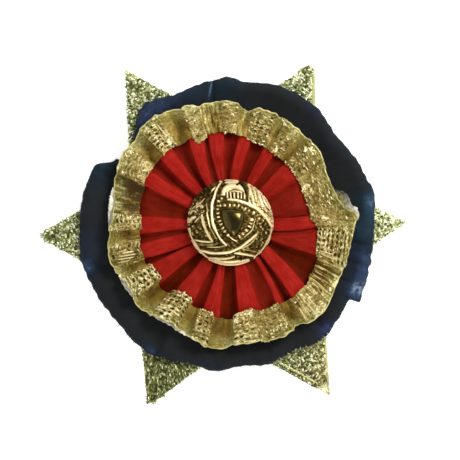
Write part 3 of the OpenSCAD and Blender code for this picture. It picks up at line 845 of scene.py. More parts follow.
def pleatLine(start, end, startTurn, endTurn, lift, dipLift, crest, dip, soft):
    # the pleats' profile as a closed row of samples. It climbs to each crest, runs along it and
    # folds back a little under it; crest and dip are rows of further values, each holding on a
    # crest or in the dip after it, and soft is how early they start to change near the end of a
    # crest. Samples: angle, height share, turn, light (how lit the gold is painted there), further
    # values
    ahead = lambda x: np.roll(x, -1, axis=-1)
    before = np.roll(dip, 1, axis=-1)
    nextStart = ahead(start) + np.r_[np.zeros(len(start) - 1), 360]
    width, dipWidth = end - start, nextStart - end
    side = np.minimum(ribbon["flank"], dipWidth * 0.32)
    tuck = np.minimum(ribbon["tuck"], width * 0.14)
    dipTurn = lambda t: mix(endTurn, ahead(startTurn), t)
    # the fourth value of each bend is how lit it is, painted onto the gold as light and shade: high on the
    # crest, 0.1 just past the fold where the painted shade is deepest, rising towards the next crest
    bends = [
        (start, lift - 0.16, startTurn, 0.75, mix(crest, before, soft)),
        (start + 0.12 * width, lift - 0.03, mix(startTurn, endTurn, 0.12), 0.9,
         mix(crest, before, soft * 0.4)),
        (start + 0.5 * width, lift + 0.02, mix(startTurn, endTurn, 0.5), 1, crest),
        (end - 0.12 * width, lift - 0.03, mix(startTurn, endTurn, 0.88), 1, mix(crest, dip, soft * 0.2)),
        (end, lift - 0.16, endTurn, 0.95, mix(crest, dip, soft * 0.7)),
        (end - tuck, mix(lift, dipLift, 0.55), endTurn, 0.1, mix(crest, dip, 0.5 + soft * 0.4)),
        (end + side, dipLift + 0.06, dipTurn(0.2), 0.12, dip),
        (end + dipWidth / 2, dipLift, dipTurn(0.5), 0.38, dip),
        (nextStart - side, dipLift + 0.06, dipTurn(0.8), 0.58, dip),
        (nextStart + ahead(tuck), mix(ahead(lift), dipLift, 0.55), ahead(startTurn), 0.66,
         mix(dip, ahead(crest), 0.5 - soft * 0.5))]
    rows = np.stack([np.vstack([angle, share, turn, light + 0 * angle, values])
                     for angle, share, turn, light, values in bends])
    rows = rows.transpose(1, 2, 0).reshape(rows.shape[1], -1)
    n = rows.shape[1]
    rows[0] -= np.arange(n) * 360 / n                # keep the part that closes
    t = np.arange(n * ribbon["samplesABend"]) / ribbon["samplesABend"]
    dense = np.stack([np.interp(t, np.arange(n), row, period=n) for row in rows])
    dense = np.stack([soften(row, ribbon["samplesABend"] * 0.36) for row in dense])
    dense[0] += t * 360 / n
    return dense


def goldLine():
    # the ruffle's profile, by the names of its values
    (start, end, seam, lift, loose, streaks, pale, dipSeam, dipLift, brown,
     dipStreaks) = np.array(ribbon["ruffle"]).T
    none = 0 * start
    line = pleatLine(start, end, none, none, lift, dipLift, np.stack([seam, loose, none, streaks, pale]),
                     np.stack([dipSeam, none, brown, dipStreaks, none]), 0.45)
    return dict(zip(("angle", "height", "turn", "light", "seam", "open", "brown", "streaks", "pale"), line))


def redLine():
    # the red pleats' profile, in the same way
    start, end, startTurn, endTurn, lift, dipLift, deep, dipPaintedShade = np.array(ribbon["pleats"]).T
    line = pleatLine(start, end, startTurn, endTurn, lift, dipLift, deep[None], dipPaintedShade[None], 0)
    return dict(zip(("angle", "height", "turn", "light", "deep"), line))


gold, red = goldLine(), redLine()


def pleatPoints(line, share, seam, r, lower, seed):
    # each sample of a line runs outwards from the hub: the angle turns as it nears the hub, and
    # the height is a share of the way from the dips' slope to the crests' slope
    angle, turn = line["angle"][:, None], line["turn"][:, None]
    radius, dips, crests = np.array(ribbon["slope"]).T
    a = angle + turn * np.clip(1 - (r - ribbon["hub"]) / (seam - ribbon["hub"]), 0, 1)
    a = a + 0.35 * ripple(seed, angle, r, waves=(9, 30), steep=0.35, count=9)
    z = mix(np.interp(r, radius, dips), np.interp(r, radius, crests), share)
    z = z + 0.09 * ripple(seed + 1, angle, r, waves=(20, 70), steep=0.7, count=12)
    return polar(r, a, z + level("velvet_disc", False) + velvet["thickness"] + ribbon["rise"] - lower)


def redPoints():
    # from the hub to a little past the seam, where the red goes down under the gold
    steps = np.linspace(0, 1, ribbon["rows"][0])[None, :]
    seam = np.interp(red["angle"], gold["angle"], gold["seam"], period=360)
    seam = soften(seam, 4)[:, None]
    r = mix(ribbon["hub"], seam + ribbon["overlap"], steps)
    return pleatPoints(red, red["height"][:, None], seam, r, 0.5 * step(0.84, 0.94, steps), 21)


def goldPoints():
    # from the seam to the hem. The ruffle lies over the red's outer edge, so it climbs wherever
    # a red crest stands higher, and it puffs up between its edges
    angle, height = gold["angle"], gold["height"]
    fray = (0.07 * ripple(31, angle, waves=(60, 220), count=14)
            + 0.12 * ripple(32, angle, waves=(14, 40), count=8))
    inner = gold["seam"] + 0.05 + fray
    uneven = 0.13 * ripple(33, angle, waves=(20, 90), count=10)
    outer = around(ribbon["hem"], 1, angle) + 0.3 * (height - 0.6) + uneven
    steps = np.linspace(0, 1, ribbon["rows"][1])[None, :]
    r = mix(inner[:, None], outer[:, None], steps)
    under = np.zeros(720)
    for near in range(-3, 4):                        # the highest red within a degree and a half
        np.maximum.at(under, (red["angle"] * 2 + near).astype(int) % 720, red["height"])
    under = soften(under, 1.5)[(angle * 2).astype(int) % 720]
    share = mix(np.maximum(height, under)[:, None], height[:, None], step(1.2, 4.0, r - inner[:, None]))
    puff = 0.22 * np.sin(np.pi * steps) * np.clip(share, 0, 1)
    grain = 0.05 * ripple(34, angle[:, None], steps * 30, waves=(120, 330), steep=1.2, count=14)
    return pleatPoints(gold, share, gold["seam"][:, None], r, -puff - grain, 23)


def clothMap(p, pitch, acrossPitch):
    # thread counts over the cloth: whole cells round the ribbon, by the length of its middle
    # row, and cells across it, by the way from its inner edge
    middleRow = p[:, p.shape[1] // 2]
    run = lengths(np.concatenate([middleRow, middleRow[:1]]))
    cells = run / run[-1] * np.round(run[-1] / pitch)
    reach = np.linalg.norm(np.diff(p, axis=1), axis=2).cumsum(axis=1)
    reach = np.pad(reach, ((0, 0), (1, 0))) / acrossPitch
    reach = np.concatenate([reach, reach[:1]])
    return np.stack([np.broadcast_to(cells[:, None], reach.shape), reach], axis=-1)


def redFinish():
    # satin ribbon: bright and smooth on the pleats, deep red with painted shade in the dips and on
    # shaded crests, and with fine cross threads
    cloth = Finish("redSatin", Specular_IOR_Level=0.01)
    where = cloth.place()
    u, v, _ = cloth.split(cloth.clothPlace())
    ribs = (v * 6.2832).wave() * 0.5 + 0.5
    streaks = cloth.noise(cloth.join(u * 0.8, v * 0.12), 1.0, 3.0, 0.6)
    uneven = cloth.noise(where, 300.0, 2.0)
    bright = cloth.ramp(streaks * 0.55 + uneven * 0.45, ribbon["red"])
    cloth.feed(
        # painted shade: the deep red where the dips and the shaded crests lie
        Base_Color=cloth.blend(cloth.mark("deep"), bright, cloth.ramp(uneven, ribbon["shadedRed"])),
        Roughness=uneven.span(0.3, 0.7, 0.6, 0.45),
        Normal=cloth.bump(ribs * 0.3 + streaks * 0.8, 0.00006))
    return cloth


def goldFinish():
    # open weave of slubby metal thread: pale threads that cross, with a slot between them in each
    # cell that is painted dark as shade, more on some pleats than on others. In the dips the cloth is
    # a darker golden brown, partly painted shade that is darkest beside the fold before them, and
    # near the hem it is greener; the crests are painted lighter where they would be lit
    cloth = Finish("goldMesh", Specular_IOR_Level=0.15)
    where = cloth.place()
    crest, across, loose, pale = (cloth.mark(name) for name in ("crest", "across", "open", "pale"))
    light, brown, streaks = (cloth.mark(name) for name in ("light", "brown", "streaks"))
    u, v, _ = cloth.split(cloth.clothPlace())
    slub = cloth.noise(cloth.join(u * 1.4, v * 2.0), 1.0, 2.0, 0.55, 0.6)
    folds = cloth.noise(cloth.join(u * 1.9, v * 0.25), 1.0, 2.0, 0.55, 0.5)
    glint = cloth.noise(where, 2100.0, 2.0, 0.6)
    broad = cloth.noise(where, 170.0, 3.0)
    patch = cloth.noise(where, 430.0, 2.0, 0.6)
    u = u + (patch - 0.5) * 0.7
    v = v + (cloth.noise(where, 480.0, 2.0, 0.6) - 0.5) * 0.8
    luck, tint, size = cloth.split(cloth.dice(cloth.join(u.floor(), v.floor())))
    fromU, fromV = (u.fract() - 0.5).abs(), (v.fract() - 0.5).abs()
    far = (fromU / (size * 0.14 + 0.24)) ** 3 + (fromV / (tint * 0.1 + 0.21)) ** 3
    gap = (1.2 - far).span(0.0, 0.8) * (loose * 1.3 - luck).span(0.0, 0.6) * across.span(0.88, 0.94, 1.0, 0.0)
    weave = fromV.most(fromU * 0.8) - 0.3
    # painted light: crests, and what the painted light makes bright, take the crossing threads' paler
    # colours; the rest take the dips' darker colours, partly painted shade
    raised = (crest * 0.6 + light * 0.5).span(0.35, 0.95)
    grain = (slub - 0.5) * (loose + 0.75) + (glint - 0.5) * 0.5 + (broad - 0.5) * 0.6 + (patch - 0.5) * 0.5
    grain = grain + weave * loose * 0.7 + (tint - 0.5) * 0.12 + (folds - 0.5) * streaks * 1.6 + pale
    # painted shade in the dips: darkest just past the fold before them, weaker towards the hem, and as strong
    # as each dip's painted-shade value in the table
    shade = brown * (0.46 - light * 0.4) * across.span(0.5, 1.0, 1.0, 0.6)
    calm = grain * (streaks * 0.5 + 0.4) + 0.6 - shade + (folds - 0.5) * (streaks * 1.2 + 0.15)
    colour = cloth.blend(
        raised, cloth.ramp(calm, ribbon["dips"]), cloth.ramp(grain + 0.44, ribbon["crossing"]))
    colour = cloth.blend(across.span(0.4, 1.0, 0.0, 0.6), colour, cloth.ramp(grain + 0.44, ribbon["nearHem"]))
    # painted shade: the open slots in the weave are painted dark, standing in for the shade seen through them
    colour = cloth.blend(gap * 0.95, colour, paint(*ribbon["slotShade"]))
    hem = across.span(0.955, 0.975) * broad.span(0.35, 0.55, 0.3, 0.85)
    relief = slub * (loose + 0.6) + glint * 0.4 + weave * loose * 0.8 + folds * streaks - gap * 0.9
    cloth.feed(
        Base_Color=cloth.blend(hem, colour, paint(*ribbon["hemEdge"])),
        Metallic=glint.span(0.35, 0.7, 0.05, 0.45) * (1.0 - gap),
        Roughness=glint.span(0.3, 0.8, 0.6, 0.38).most(gap * 0.9),
        Normal=cloth.bump(relief, 0.0003))
    return cloth


def goldThreadFinish():
    # the loose ends and long stitches of the same thread
    thread = Finish("goldThread", Specular_IOR_Level=0.3)
    glint = thread.noise(thread.place(), 2400.0, 2.0, 0.65)
    thread.feed(
        Base_Color=thread.ramp(thread.mark("tint") * 0.75 + (glint - 0.5) * 0.4 + 0.12, ribbon["thread"]),
        Metallic=glint.span(0.35, 0.7, 0.05, 0.4),
        Roughness=glint.span(0.3, 0.8, 0.6, 0.4),
        Normal=thread.bump(glint, 0.0001))
    return thread


def goldStrands(p):
    # threads on the ruffle: loops along its raw inner edge, slubs on the pleats, tangles, and a
    # few long stitches that run outwards. Each path is worked out in columns and rows of the
    # cloth: evenly along and across from end to end, bent and humped in its middle
    dice = np.random.default_rng(41)
    columns, rows = len(p), p.shape[1] - 1
    columnAt = lambda angle: np.interp(angle, gold["angle"], np.arange(columns), period=360)
    gaps = np.linalg.norm(np.roll(p, -1, axis=0) - p, axis=2)[:, rows // 2]
    run = np.r_[0, np.cumsum(gaps)]
    n = ribbon["threads"]
    edge = np.arange(n) < ribbon["edgeThreads"]
    column = np.interp(dice.uniform(0, run[-1], n), run, np.arange(columns + 1))
    row = np.where(edge, dice.uniform(-0.2, 1.2, n), dice.uniform(1, rows - 1.5, n))
    heading = dice.uniform(-0.4, 0.4, n) * np.where(edge, 3, 1)
    raised = gold["height"] - 0.5 * gold["streaks"]
    keep = raised[column.astype(int) % columns] > dice.uniform(0.4, 0.95, n)
    for angle, share, wide, count in ribbon["tangles"]:
        column = np.r_[column, columnAt(angle + dice.normal(0, wide / 2, count))]
        row = np.r_[row, np.clip(share * rows + dice.normal(0, wide * 0.7, count), 0, rows - 1)]
        heading = np.r_[heading, dice.uniform(0, np.pi, count)]
    total = len(column)
    tangled = np.arange(total) >= n
    length = dice.uniform(0.45, 1.0, total)
    along = length * np.cos(heading) / np.maximum(gaps[column.astype(int) % columns], 0.04)
    across = length * np.sin(heading) / 0.25
    bend, height = dice.uniform(-0.8, 0.8, total), dice.uniform(0.0, 0.12, total)
    tint = np.clip(dice.normal(0.52, 0.27, total) + 0.3 * tangled, 0, 1)
    thick = dice.uniform(0.1, 0.18, total)

    first, last, start, end, wide = np.array(ribbon["stitches"]).T
    here, way = columnAt(first), columnAt(last) - columnAt(first)
    stitchBend, stitchTint = dice.uniform([-0.5, 0.5], [0.5, 0.75], (len(wide), 2)).T
    column, row = np.r_[column, here + way * (start + end) / 2], np.r_[row, (start + end) / 2 * rows]
    along, across = np.r_[along, way * (end - start)], np.r_[across, (end - start) * rows]
    bend, height = np.r_[bend, stitchBend], np.r_[height, 0.08 + 0 * wide]
    tint, thick = np.r_[tint, stitchTint], np.r_[thick, wide / 2]
    keep = np.r_[keep, np.ones(len(column) - n, bool)]
    t = np.linspace(0, 1, 7)[None, :]
    hump = 4 * t * (1 - t)
    c = column[:, None] + (t - 0.5) * along[:, None]
    r = row[:, None] + (t - 0.5) * across[:, None] + hump * bend[:, None]
    inward = np.minimum(r, 0)[..., None] * (p[:, 1] - p[:, 0])[c.astype(int) % columns]
    paths = onCloth(p, c, np.clip(r, 0, rows)) + inward
    paths[..., 2] += height[:, None] * hump + 0.05
    return paths[keep], thick[keep], tint[keep]


def scrapPoints():
    # wisps of the gauze lining that show past the hem: each a grid from under the ruffle to a
    # ragged outer edge, which goes through the points of its table
    grids, cream = [], []
    for seed, edge in enumerate(ribbon["scraps"]):
        angle, reach = np.array(edge).T
        a = np.linspace(angle[0], angle[-1], 60)[:, None]
        hem = around(ribbon["hem"], 1, a)
        ragged = np.interp(a, angle, reach) + 0.09 * ripple(50 + seed, a, waves=(60, 300), count=12)
        share = np.linspace(0, 1, 12)[None, :]
        r = mix(hem - 1.6, np.maximum(ragged, hem - 0.8), share)
        creases = 0.12 * ripple(60 + seed, a, r, waves=(30, 90), steep=1.2, count=10)
        grids.append(polar(r, a, mix(*ribbon["scrapHeights"], share) + creases))
        bunched = np.exp(-((a - 5.4) / 3.0) ** 2) if seed == 0 else 0.75 + 0 * a
        cream.append(step(0.35, 0.7, share) * bunched)
    return np.stack(grids), np.stack(cream)


def scrapFinish():
    # thin gauze: olive beside the hem, a dull veil further out, and cream where it bunches up
    gauze = Finish("hemGauze", Specular_IOR_Level=0.3)
    where = gauze.place()
    mesh = gauze.noise(where, 1300.0, 3.0, 0.6)
    creases = gauze.noise(where, 420.0, 2.0, 0.5, 0.4)
    out, cream = gauze.mark("out"), gauze.mark("cream")
    tone = creases + (mesh - 0.5) * 0.5
    near, veil, pale = (gauze.ramp(tone, ribbon[name]) for name in ("gauze", "veil", "cream"))
    gauze.feed(
        Base_Color=gauze.blend(cream, gauze.blend(out.span(0.66, 0.92), near, veil), pale),
        Roughness=mesh.span(0.3, 0.7, 0.7, 0.5),
        Alpha=(creases + (mesh - 0.5) * 0.6 + cream * 0.25).span(0.25, 0.65, 0.55, 1.0),
        Normal=gauze.bump(creases + mesh * 0.5, 0.00015))
    return gauze


def ribbonPiece(name, p, finish, node, pitch, marks):
    # a mesh of the ribbon's upper face, which a wall under it makes solid; marks are values for
    # each sample of its line
    marks = {key: value[:, None] for key, value in marks.items()}
    marks["across"] = np.linspace(1, 0, p.shape[1])[None, :]
    piece = surface(name, p[:, ::-1], roundU=True, uv=clothMap(p, *pitch)[:, ::-1], marks=marks)
    return settle(thicken(piece, ribbon["thickness"]), finish, [node])


redPiece = ribbonPiece(
    "redPleats", redPoints(), redFinish(), "red_pleats", (0.3, 0.4), {"deep": red["deep"]})
crest = np.clip(gold["height"], 0, 1)
# the painted light and shade on the gold, evened out in the dips that are streaky
light = mix(gold["light"], 0.38, np.clip(gold["streaks"], 0, 1) * (1 - crest))
goldMarks = {name: gold[name] for name in ("open", "brown", "streaks", "pale")}
points = goldPoints()
goldPiece = ribbonPiece("goldRuffle", points, goldFinish(), "gold_ruffle", (1.5, 1.1),
                        {"light": light, "crest": crest, **goldMarks})
goldThreads = settle(strands("goldThreads", *goldStrands(points), sides=5), goldThreadFinish())
points, cream = scrapPoints()
hemScraps = surface("hemScraps", points[:, :, ::-1],
                    marks={"out": np.linspace(1, 0, 12), "cream": cream[:, :, ::-1]})
settle(thicken(hemScraps, ribbon["scrapThickness"]), scrapFinish())
print("ribbons ready")


button = {
    "radius": 10.75,
    "dome": 6.2,
    "depth": 0.5,                # mm from the deepest field up to the top of a rail
    "rings": 150,
    "spokes": 420,
    # strokes of the cast pattern: start, middle and end in mm round the middle of the dome,
    # then width in mm, and height from 0 (the deepest field) to 1 (a rail)
    "ridges": [
        # the three rails of the knot
        ((-1.9, 10.5), (-4.77, 2.6), (-1.1, -5.85), 0.72, 1.0),
        ((-0.7, 5.63), (5.5, 3.95), (10.3, -0.9), 0.85, 1.0),
        ((-7.7, -6.8), (-0.6, -7.45), (6.3, -3.0), 0.75, 1.0),
        # left band
        ((-6.0, 4.8), (-5.5, 0.4), (-3.6, -4.4), 0.34, 0.6),
        ((-5.9, 2.3), (-5.6, 0.7), (-5.0, -1.2), 0.4, 0.95),
        ((-7.2, 1.7), (-6.4, -1.5), (-4.5, -4.9), 0.85, 0.78),
        ((-9.3, -4.3), (-7.4, -4.85), (-4.6, -5.0), 0.55, 0.9),
        ((-8.4, -5.5), (-6.1, -5.8), (-3.6, -5.6), 0.8, 0.42),
        ((-5.9, -6.3), (-3.4, -6.2), (-1.0, -5.9), 0.3, 0.75),
        ((-6.3, 5.95), (-7.9, 4.7), (-9.9, 3.1), 0.3, 0.8),
        ((-8.3, 5.4), (-7.5, 4.7), (-6.8, 3.8), 0.28, 0.7),
        ((-3.7, 9.0), (-4.3, 8.3), (-4.9, 7.5), 0.28, 0.75),
        ((-8.4, 3.7), (-7.7, 4.2), (-7.0, 3.6), 0.4, 0.9),
        ((-9.9, 2.2), (-9.2, 2.9), (-8.6, 2.3), 0.42, 0.95),
        ((-10.2, 0.2), (-9.6, 1.1), (-8.9, 1.2), 1.1, 1.0),
        ((-8.6, 0.2), (-7.9, 1.3), (-7.1, 2.3), 0.5, 0.95),
        # lower band
        ((1.0, -7.8), (3.4, -8.05), (6.4, -8.5), 0.6, 0.95),
        ((2.6, -6.7), (4.7, -7.1), (7.2, -7.6), 0.4, 0.55),
        ((6.7, -2.2), (5.8, -4.5), (2.9, -6.6), 0.5, 0.62),
        ((-6.2, -8.5), (-2.0, -9.15), (1.2, -8.6), 0.6, 0.9),
        ((-4.6, -9.3), (-0.5, -10.1), (4.5, -9.3), 1.0, 0.95),
        # right band, with the arch at its upper end
        ((-1.7, 7.0), (1.2, 9.15), (3.5, 7.5), 1.9, 0.95),
        ((-1.2, 9.9), (0.6, 10.1), (2.0, 10.2), 0.9, 0.95),
        ((-1.1, 7.35), (1.4, 7.75), (3.9, 6.9), 0.4, 0.9),
        ((4.3, 9.3), (5.2, 7.2), (5.7, 4.7), 0.75, 0.95),
        ((5.5, 8.9), (6.3, 6.9), (6.9, 4.4), 0.7, 0.95),
        ((6.7, 8.1), (7.5, 6.1), (8.1, 3.9), 0.7, 0.95),
        ((7.8, 7.2), (8.6, 4.9), (10.2, 3.1), 0.9, 0.95),
        # frame of the boss
        ((6.15, 0.8), (5.5, -1.5), (3.4, -4.0), 0.4, 0.75),
        # rim
        ((-10.25, -1.2), (-9.15, -4.75), (-5.9, -8.5), 0.5, 0.95),
        ((10.35, -0.5), (9.4, -4.4), (6.2, -8.35), 0.36, 0.85),
        ((-0.4, -3.6), (0.5, -4.3), (1.6, -4.75), 0.34, 0.85)],
    # the same for what is cut in: width, and how much of the height it takes away
    "grooves": [
        ((-10.3, -0.9), (-8.8, 0.45), (-7.3, 2.0), 0.34, 1.0),
        ((-0.6, 7.5), (1.5, 7.95), (3.4, 7.3), 0.22, 0.6),
        ((1.6, 9.4), (2.0, 9.85), (2.5, 10.1), 0.6, 0.95),
        ((2.4, 10.1), (3.3, 8.8), (3.95, 7.2), 0.75, 1.0),
        ((4.3, 6.8), (4.35, 5.9), (4.25, 5.2), 0.4, 0.9),
        ((4.9, 6.0), (5.1, 5.5), (5.25, 5.0), 0.3, 0.8),
        ((6.4, 7.5), (6.65, 5.7), (6.95, 4.3), 0.28, 0.75),
        ((7.75, 6.9), (8.35, 4.8), (9.8, 3.1), 0.3, 0.9),
        ((7.4, 3.75), (7.65, 3.55), (7.9, 3.2), 0.4, 0.9),
        ((8.2, 3.1), (8.5, 2.8), (8.75, 2.5), 0.36, 0.9),
        ((9.0, 2.4), (9.3, 2.0), (9.6, 1.7), 0.34, 0.9),
        ((-5.6, -8.5), (-2.9, -8.6), (0.8, -8.2), 0.3, 0.7),
        ((-2.4, -9.4), (-1.0, -9.45), (0.3, -9.2), 0.4, 0.6),
        ((1.3, -8.4), (1.45, -8.7), (1.6, -8.9), 0.45, 0.9),
        ((2.4, -9.1), (2.6, -9.35), (2.8, -9.5), 0.4, 0.8)],
    # rows of beads: start, middle, end, width, how many
    "beads": [
        ((-2.95, 5.2), (-2.9, 1.0), (-0.7, -3.4), 1.0, 9.0),
        ((-2.3, 4.15), (1.4, 4.0), (5.7, 2.2), 0.95, 8.0),
        ((5.3, 0.6), (4.4, -1.7), (1.9, -3.9), 1.15, 5.5),
        ((-2.2, 6.0), (-1.7, 8.0), (-0.5, 9.6), 0.7, 5.0)],
    "bars": {"from": -1.25, "to": 3.9, "low": 5.95, "high": 7.35, "pitch": 0.88, "width": 0.56, "top": 0.92},
    # the boss: corners, with the middle of each side between them
    "boss": [(-2.0, 2.85), (0.7, 3.05), (3.2, 2.35), (2.8, -0.8), (0.9, -3.6), (-1.7, -0.3)],
    "bossHeight": 0.58,
    # the rim and the underside, from the dome's edge to the middle: mm in from the radius, and
    # mm down from the edge
    "rim": [
        (0.12, 0.02), (0.02, 0.15), (0, 0.35), (0, 0.9), (0.12, 1.12), (0.4, 1.2), (1.75, 1.15), (5.75, 1.1),
        (10.75, 1.1)],
    "shank": (1.5, 0.7),         # radius of its loop and of its wire
    # colours from the field to the worn rails, and on the boss
    "pattern": [(0.08, 40, 29, 6), (0.3, 90, 74, 30), (0.56, 178, 154, 94), (0.92, 250, 232, 184)],
    "smooth": [(0.3, 60, 50, 20), (0.7, 86, 76, 38)],
}


def circleThrough(start, mid, end):
    # the centre and the radius of the circle through three points
    ax, ay, bx, by = *np.subtract(start, mid), *np.subtract(end, mid)
    turn = 2 * (ax * by - ay * bx)
    a, b = ax * ax + ay * ay, bx * bx + by * by
    cx, cy = (by * a - ay * b) / turn, (ax * b - bx * a) / turn
    return mid[0] + cx, mid[1] + cy, math.hypot(cx, cy)


def alongArc(x, y, start, mid, end):
    # how far each place lies from an arc, and how far along it, from 0 to 1
    cx, cy, radius = circleThrough(start, mid, end)
    zero = math.atan2(mid[1] - cy, mid[0] - cx)
    turned = lambda px, py: (np.arctan2(py - cy, px - cx) - zero + np.pi) % (2 * np.pi) - np.pi
    first, last = turned(*start), turned(*end)
    t = (turned(x, y) - first) / (last - first)
    off = np.abs(np.hypot(x - cx, y - cy) - radius)
    ends = np.minimum(np.hypot(x - start[0], y - start[1]), np.hypot(x - end[0], y - end[1]))
    return np.where((t >= 0) & (t <= 1), off, ends), np.clip(t, 0, 1)


def ridge(off, width):
    # a round back: 1 along the middle of a stroke, 0 from half its width away
    return np.sqrt(np.clip(1 - (off / (width / 2)) ** 2, 0, 1))


def insideArcs(x, y, corners):
    # mm inside a shape whose sides are arcs; corners has a corner, a side's middle, and so on
    # (the inverse distances to the sides are added up, which rounds it all over)
    sides = []
    for k in range(0, len(corners), 2):
        cx, cy, radius = circleThrough(corners[k], corners[k + 1], corners[(k + 2) % len(corners)])
        sides.append(radius - np.hypot(x - cx, y - cy))
    nearest = np.minimum.reduce(sides)
    return np.where(nearest > 0, 2.4 / sum(1 / np.maximum(side, 1e-3) for side in sides), nearest)


def grainy(x, y, seed, size):
    # cast grain: a sum of plane waves in random directions, between about -1 and 1
    dice = np.random.default_rng(seed)
    total = 0
    for k in range(16):
        turn, wave = dice.uniform(0, np.pi), 2 * np.pi / (size * dice.uniform(0.6, 1.6))
        total = total + np.sin((x * math.cos(turn) + y * math.sin(turn)) * wave + dice.uniform(0, 6.28))
    return total / 4


def buttonRelief(x, y):
    # height of the cast pattern, 0 in the deepest field and 1 on a rail, and how far inside
    # the boss each place lies; a slow ripple makes the strokes a little uneven
    boss = insideArcs(x, y, button["boss"])
    x, y = x + 0.09 * grainy(x, y, 75, 4.0), y + 0.09 * grainy(x, y, 76, 4.0)
    # the field: rough all over, raised beyond the second rail, and coarser in two corners
    cx, cy, reach = circleThrough(*button["ridges"][1][:3])
    upper = step(0.0, 0.5, np.hypot(x - cx, y - cy) - reach) * step(4.2, 4.8, x)
    height = 0.17 + 0.14 * np.maximum(grainy(x, y, 71, 0.9), -0.6)
    height = mix(height, 0.62 + 0.16 * grainy(x, y, 72, 0.8), upper)
    left = step(-5.4, -6.4, x + 0.25 * y) * step(-4.0, -2.5, y)
    right = step(0.3, -0.6, y - 3.1 + 0.55 * (x - 6.5)) * step(5.6, 6.6, x)
    height = height + left * 0.3 * np.maximum(grainy(x, y, 73, 1.0), 0)
    height = height + right * 0.26 * np.maximum(grainy(x, y, 74, 0.8), 0)
    for start, mid, end, width, top in button["ridges"]:
        off, t = alongArc(x, y, start, mid, end)
        height = np.maximum(height, top * ridge(off, width * (1 - 0.45 * np.abs(2 * t - 1) ** 3)))
    for start, mid, end, width, count in button["beads"]:
        off, t = alongArc(x, y, start, mid, end)
        wave = 0.5 + 0.5 * np.cos(2 * np.pi * t * count + 0.8 * np.sin(7 * t + count))
        worn = 0.8 + 0.2 * np.sin(t * count * 3.3 + width * 40)
        bead = ridge(off, width * (0.85 + 0.15 * worn)) * np.clip(wave * 1.5 - 0.35, 0, 1)
        height = np.maximum(height, worn * bead)
    bars = button["bars"]
    across = ((x - bars["from"]) % bars["pitch"]) - bars["pitch"] / 2
    inBars = (x > bars["from"]) & (x < bars["to"]) & (y > bars["low"]) & (y < bars["high"])
    height = np.where(inBars, bars["top"] * ridge(across, bars["width"]), height)
    for start, mid, end, width, cut in button["grooves"]:
        height = height * (1 - cut * ridge(alongArc(x, y, start, mid, end)[0], width))
    return height, boss


def buttonPoints():
    # rings from the middle of the dome out over its rim, down, and in again underneath; the
    # relief stands up from the sphere
    base = button["radius"] - 0.3
    sphere = (base ** 2 + button["dome"] ** 2) / (2 * button["dome"])
    centreZ = level("button", True) - 0.75 - sphere
    r = np.linspace(0, base - 0.05, button["rings"])[None, :]
    a = np.radians(np.arange(button["spokes"]) * 360 / button["spokes"])[:, None]
    x, y = r * np.cos(a), r * np.sin(a)
    relief, inBoss = buttonRelief(x, y)
    relief = mix(relief, 0.0, step(-0.5, 0.0, inBoss))
    crown = button["bossHeight"] * (1 - (1 - np.clip(inBoss / 2.1, 0, 1)) ** 2)
    lift = np.where(inBoss > 0, crown, relief * button["depth"]) - button["depth"] * 0.6
    lift = lift * mix(0.45, 1, step(base + 0.02, base - 0.6, r))
    dome = np.sqrt(sphere ** 2 - r ** 2)
    p = np.dstack([x + lift * x / sphere, y + lift * y / sphere, centreZ + dome + lift * dome / sphere])
    inset, down = np.array(button["rim"]).T[:, None, :]
    out = button["radius"] - inset
    edge = centreZ + math.sqrt(sphere ** 2 - base ** 2)
    rim = np.dstack([out * np.cos(a), out * np.sin(a), edge - down + 0 * a])
    plain = 0 * a + 0 * inset
    marks = {"relief": np.hstack([relief, plain + relief[:, -4:-3]]),
             "boss": np.hstack([step(0, 0.15, inBoss), plain])}
    return np.concatenate([p, rim], axis=1) + middle, marks


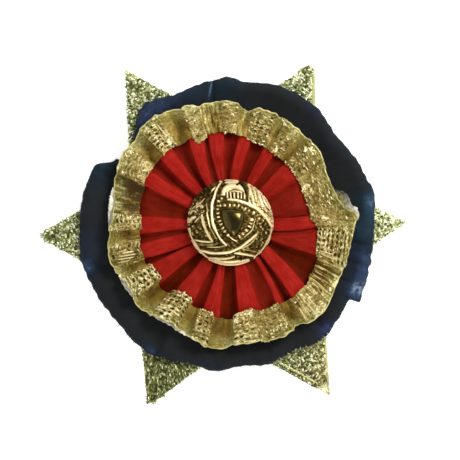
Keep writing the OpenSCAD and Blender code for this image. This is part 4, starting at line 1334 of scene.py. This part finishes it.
def buttonFinish():
    # worn cast metal: pale gold where the pattern stands up, dark brown where it lies deep, and
    # a smooth dark boss
    metal = Finish("antiqueBrass", Specular_IOR_Level=0.25, Coat_Roughness=0.16)
    where = metal.place()
    boss = metal.mark("boss")
    stain = metal.noise(where, 700.0, 3.0, 0.6)
    grain = metal.noise(where, 4200.0, 2.0)
    worn = metal.mark("relief") + (stain - 0.5) * 0.5 + (grain - 0.5) * 0.2
    metal.feed(
        Base_Color=metal.blend(
            boss, metal.ramp(worn, button["pattern"]), metal.ramp(stain, button["smooth"])),
        Metallic=worn.span(0.1, 0.9, 0.9, 0.5).most(boss),
        Roughness=worn.span(0.1, 0.9, 0.5, 0.3) * (1.0 - boss) + boss * 0.21,
        Coat_Weight=boss * 0.12,
        Normal=metal.bump((stain * 0.4 + grain * 0.6) * (1.0 - boss * 0.93), 0.00006))
    return metal


def shankPoints():
    # a wire bent into a ring under the button, as in the CAD model: a circle round the wire,
    # carried round the loop
    loop, wire = button["shank"]
    u = np.radians(np.arange(48) * 360 / 48)[:, None]
    v = np.radians(np.arange(16) * 360 / 16)[None, :]
    out = loop + wire * np.cos(v)
    centre = middle + np.array([0, 0, level("button", False) + loop + wire])
    return np.dstack([out * np.cos(u), wire * np.sin(v) + 0 * u, out * np.sin(u)]) + centre


points, marks = buttonPoints()
buttonPiece = surface("domeButton", points[:, ::-1], roundU=True,
                      marks={key: value[:, ::-1] for key, value in marks.items()})
shank = surface("shank", shankPoints()[:, ::-1], roundU=True, roundV=True, marks={"relief": 0.5, "boss": 0})
with bpy.context.temp_override(active_object=buttonPiece, selected_editable_objects=[buttonPiece, shank]):
    bpy.ops.object.join()
settle(buttonPiece, buttonFinish(), ["button"])
print("button ready")


pin = {
    "steel": [(0.3, 173.4, 173.4, 169.6), (0.7, 212.2, 212.2, 207.9)],
}


def steelFinish():
    # plated steel, drawn along its length
    metal = Finish("platedSteel", Metallic=1.0)
    x, y, z = metal.split(metal.place())
    drawn = metal.noise(metal.join(x * 0.06, y, z), 5200.0, 3.0)
    spots = metal.noise(metal.place(), 900.0, 2.0)
    metal.feed(
        Base_Color=metal.ramp(drawn * 0.6 + spots * 0.4, pin["steel"]),
        Roughness=spots.span(0.3, 0.7, 0.22, 0.4),
        Normal=metal.bump(drawn, 0.00002))
    return metal


steel = steelFinish()
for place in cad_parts["bar_pin"].material_slots:
    place.material = steel.material
print("bar pin ready")
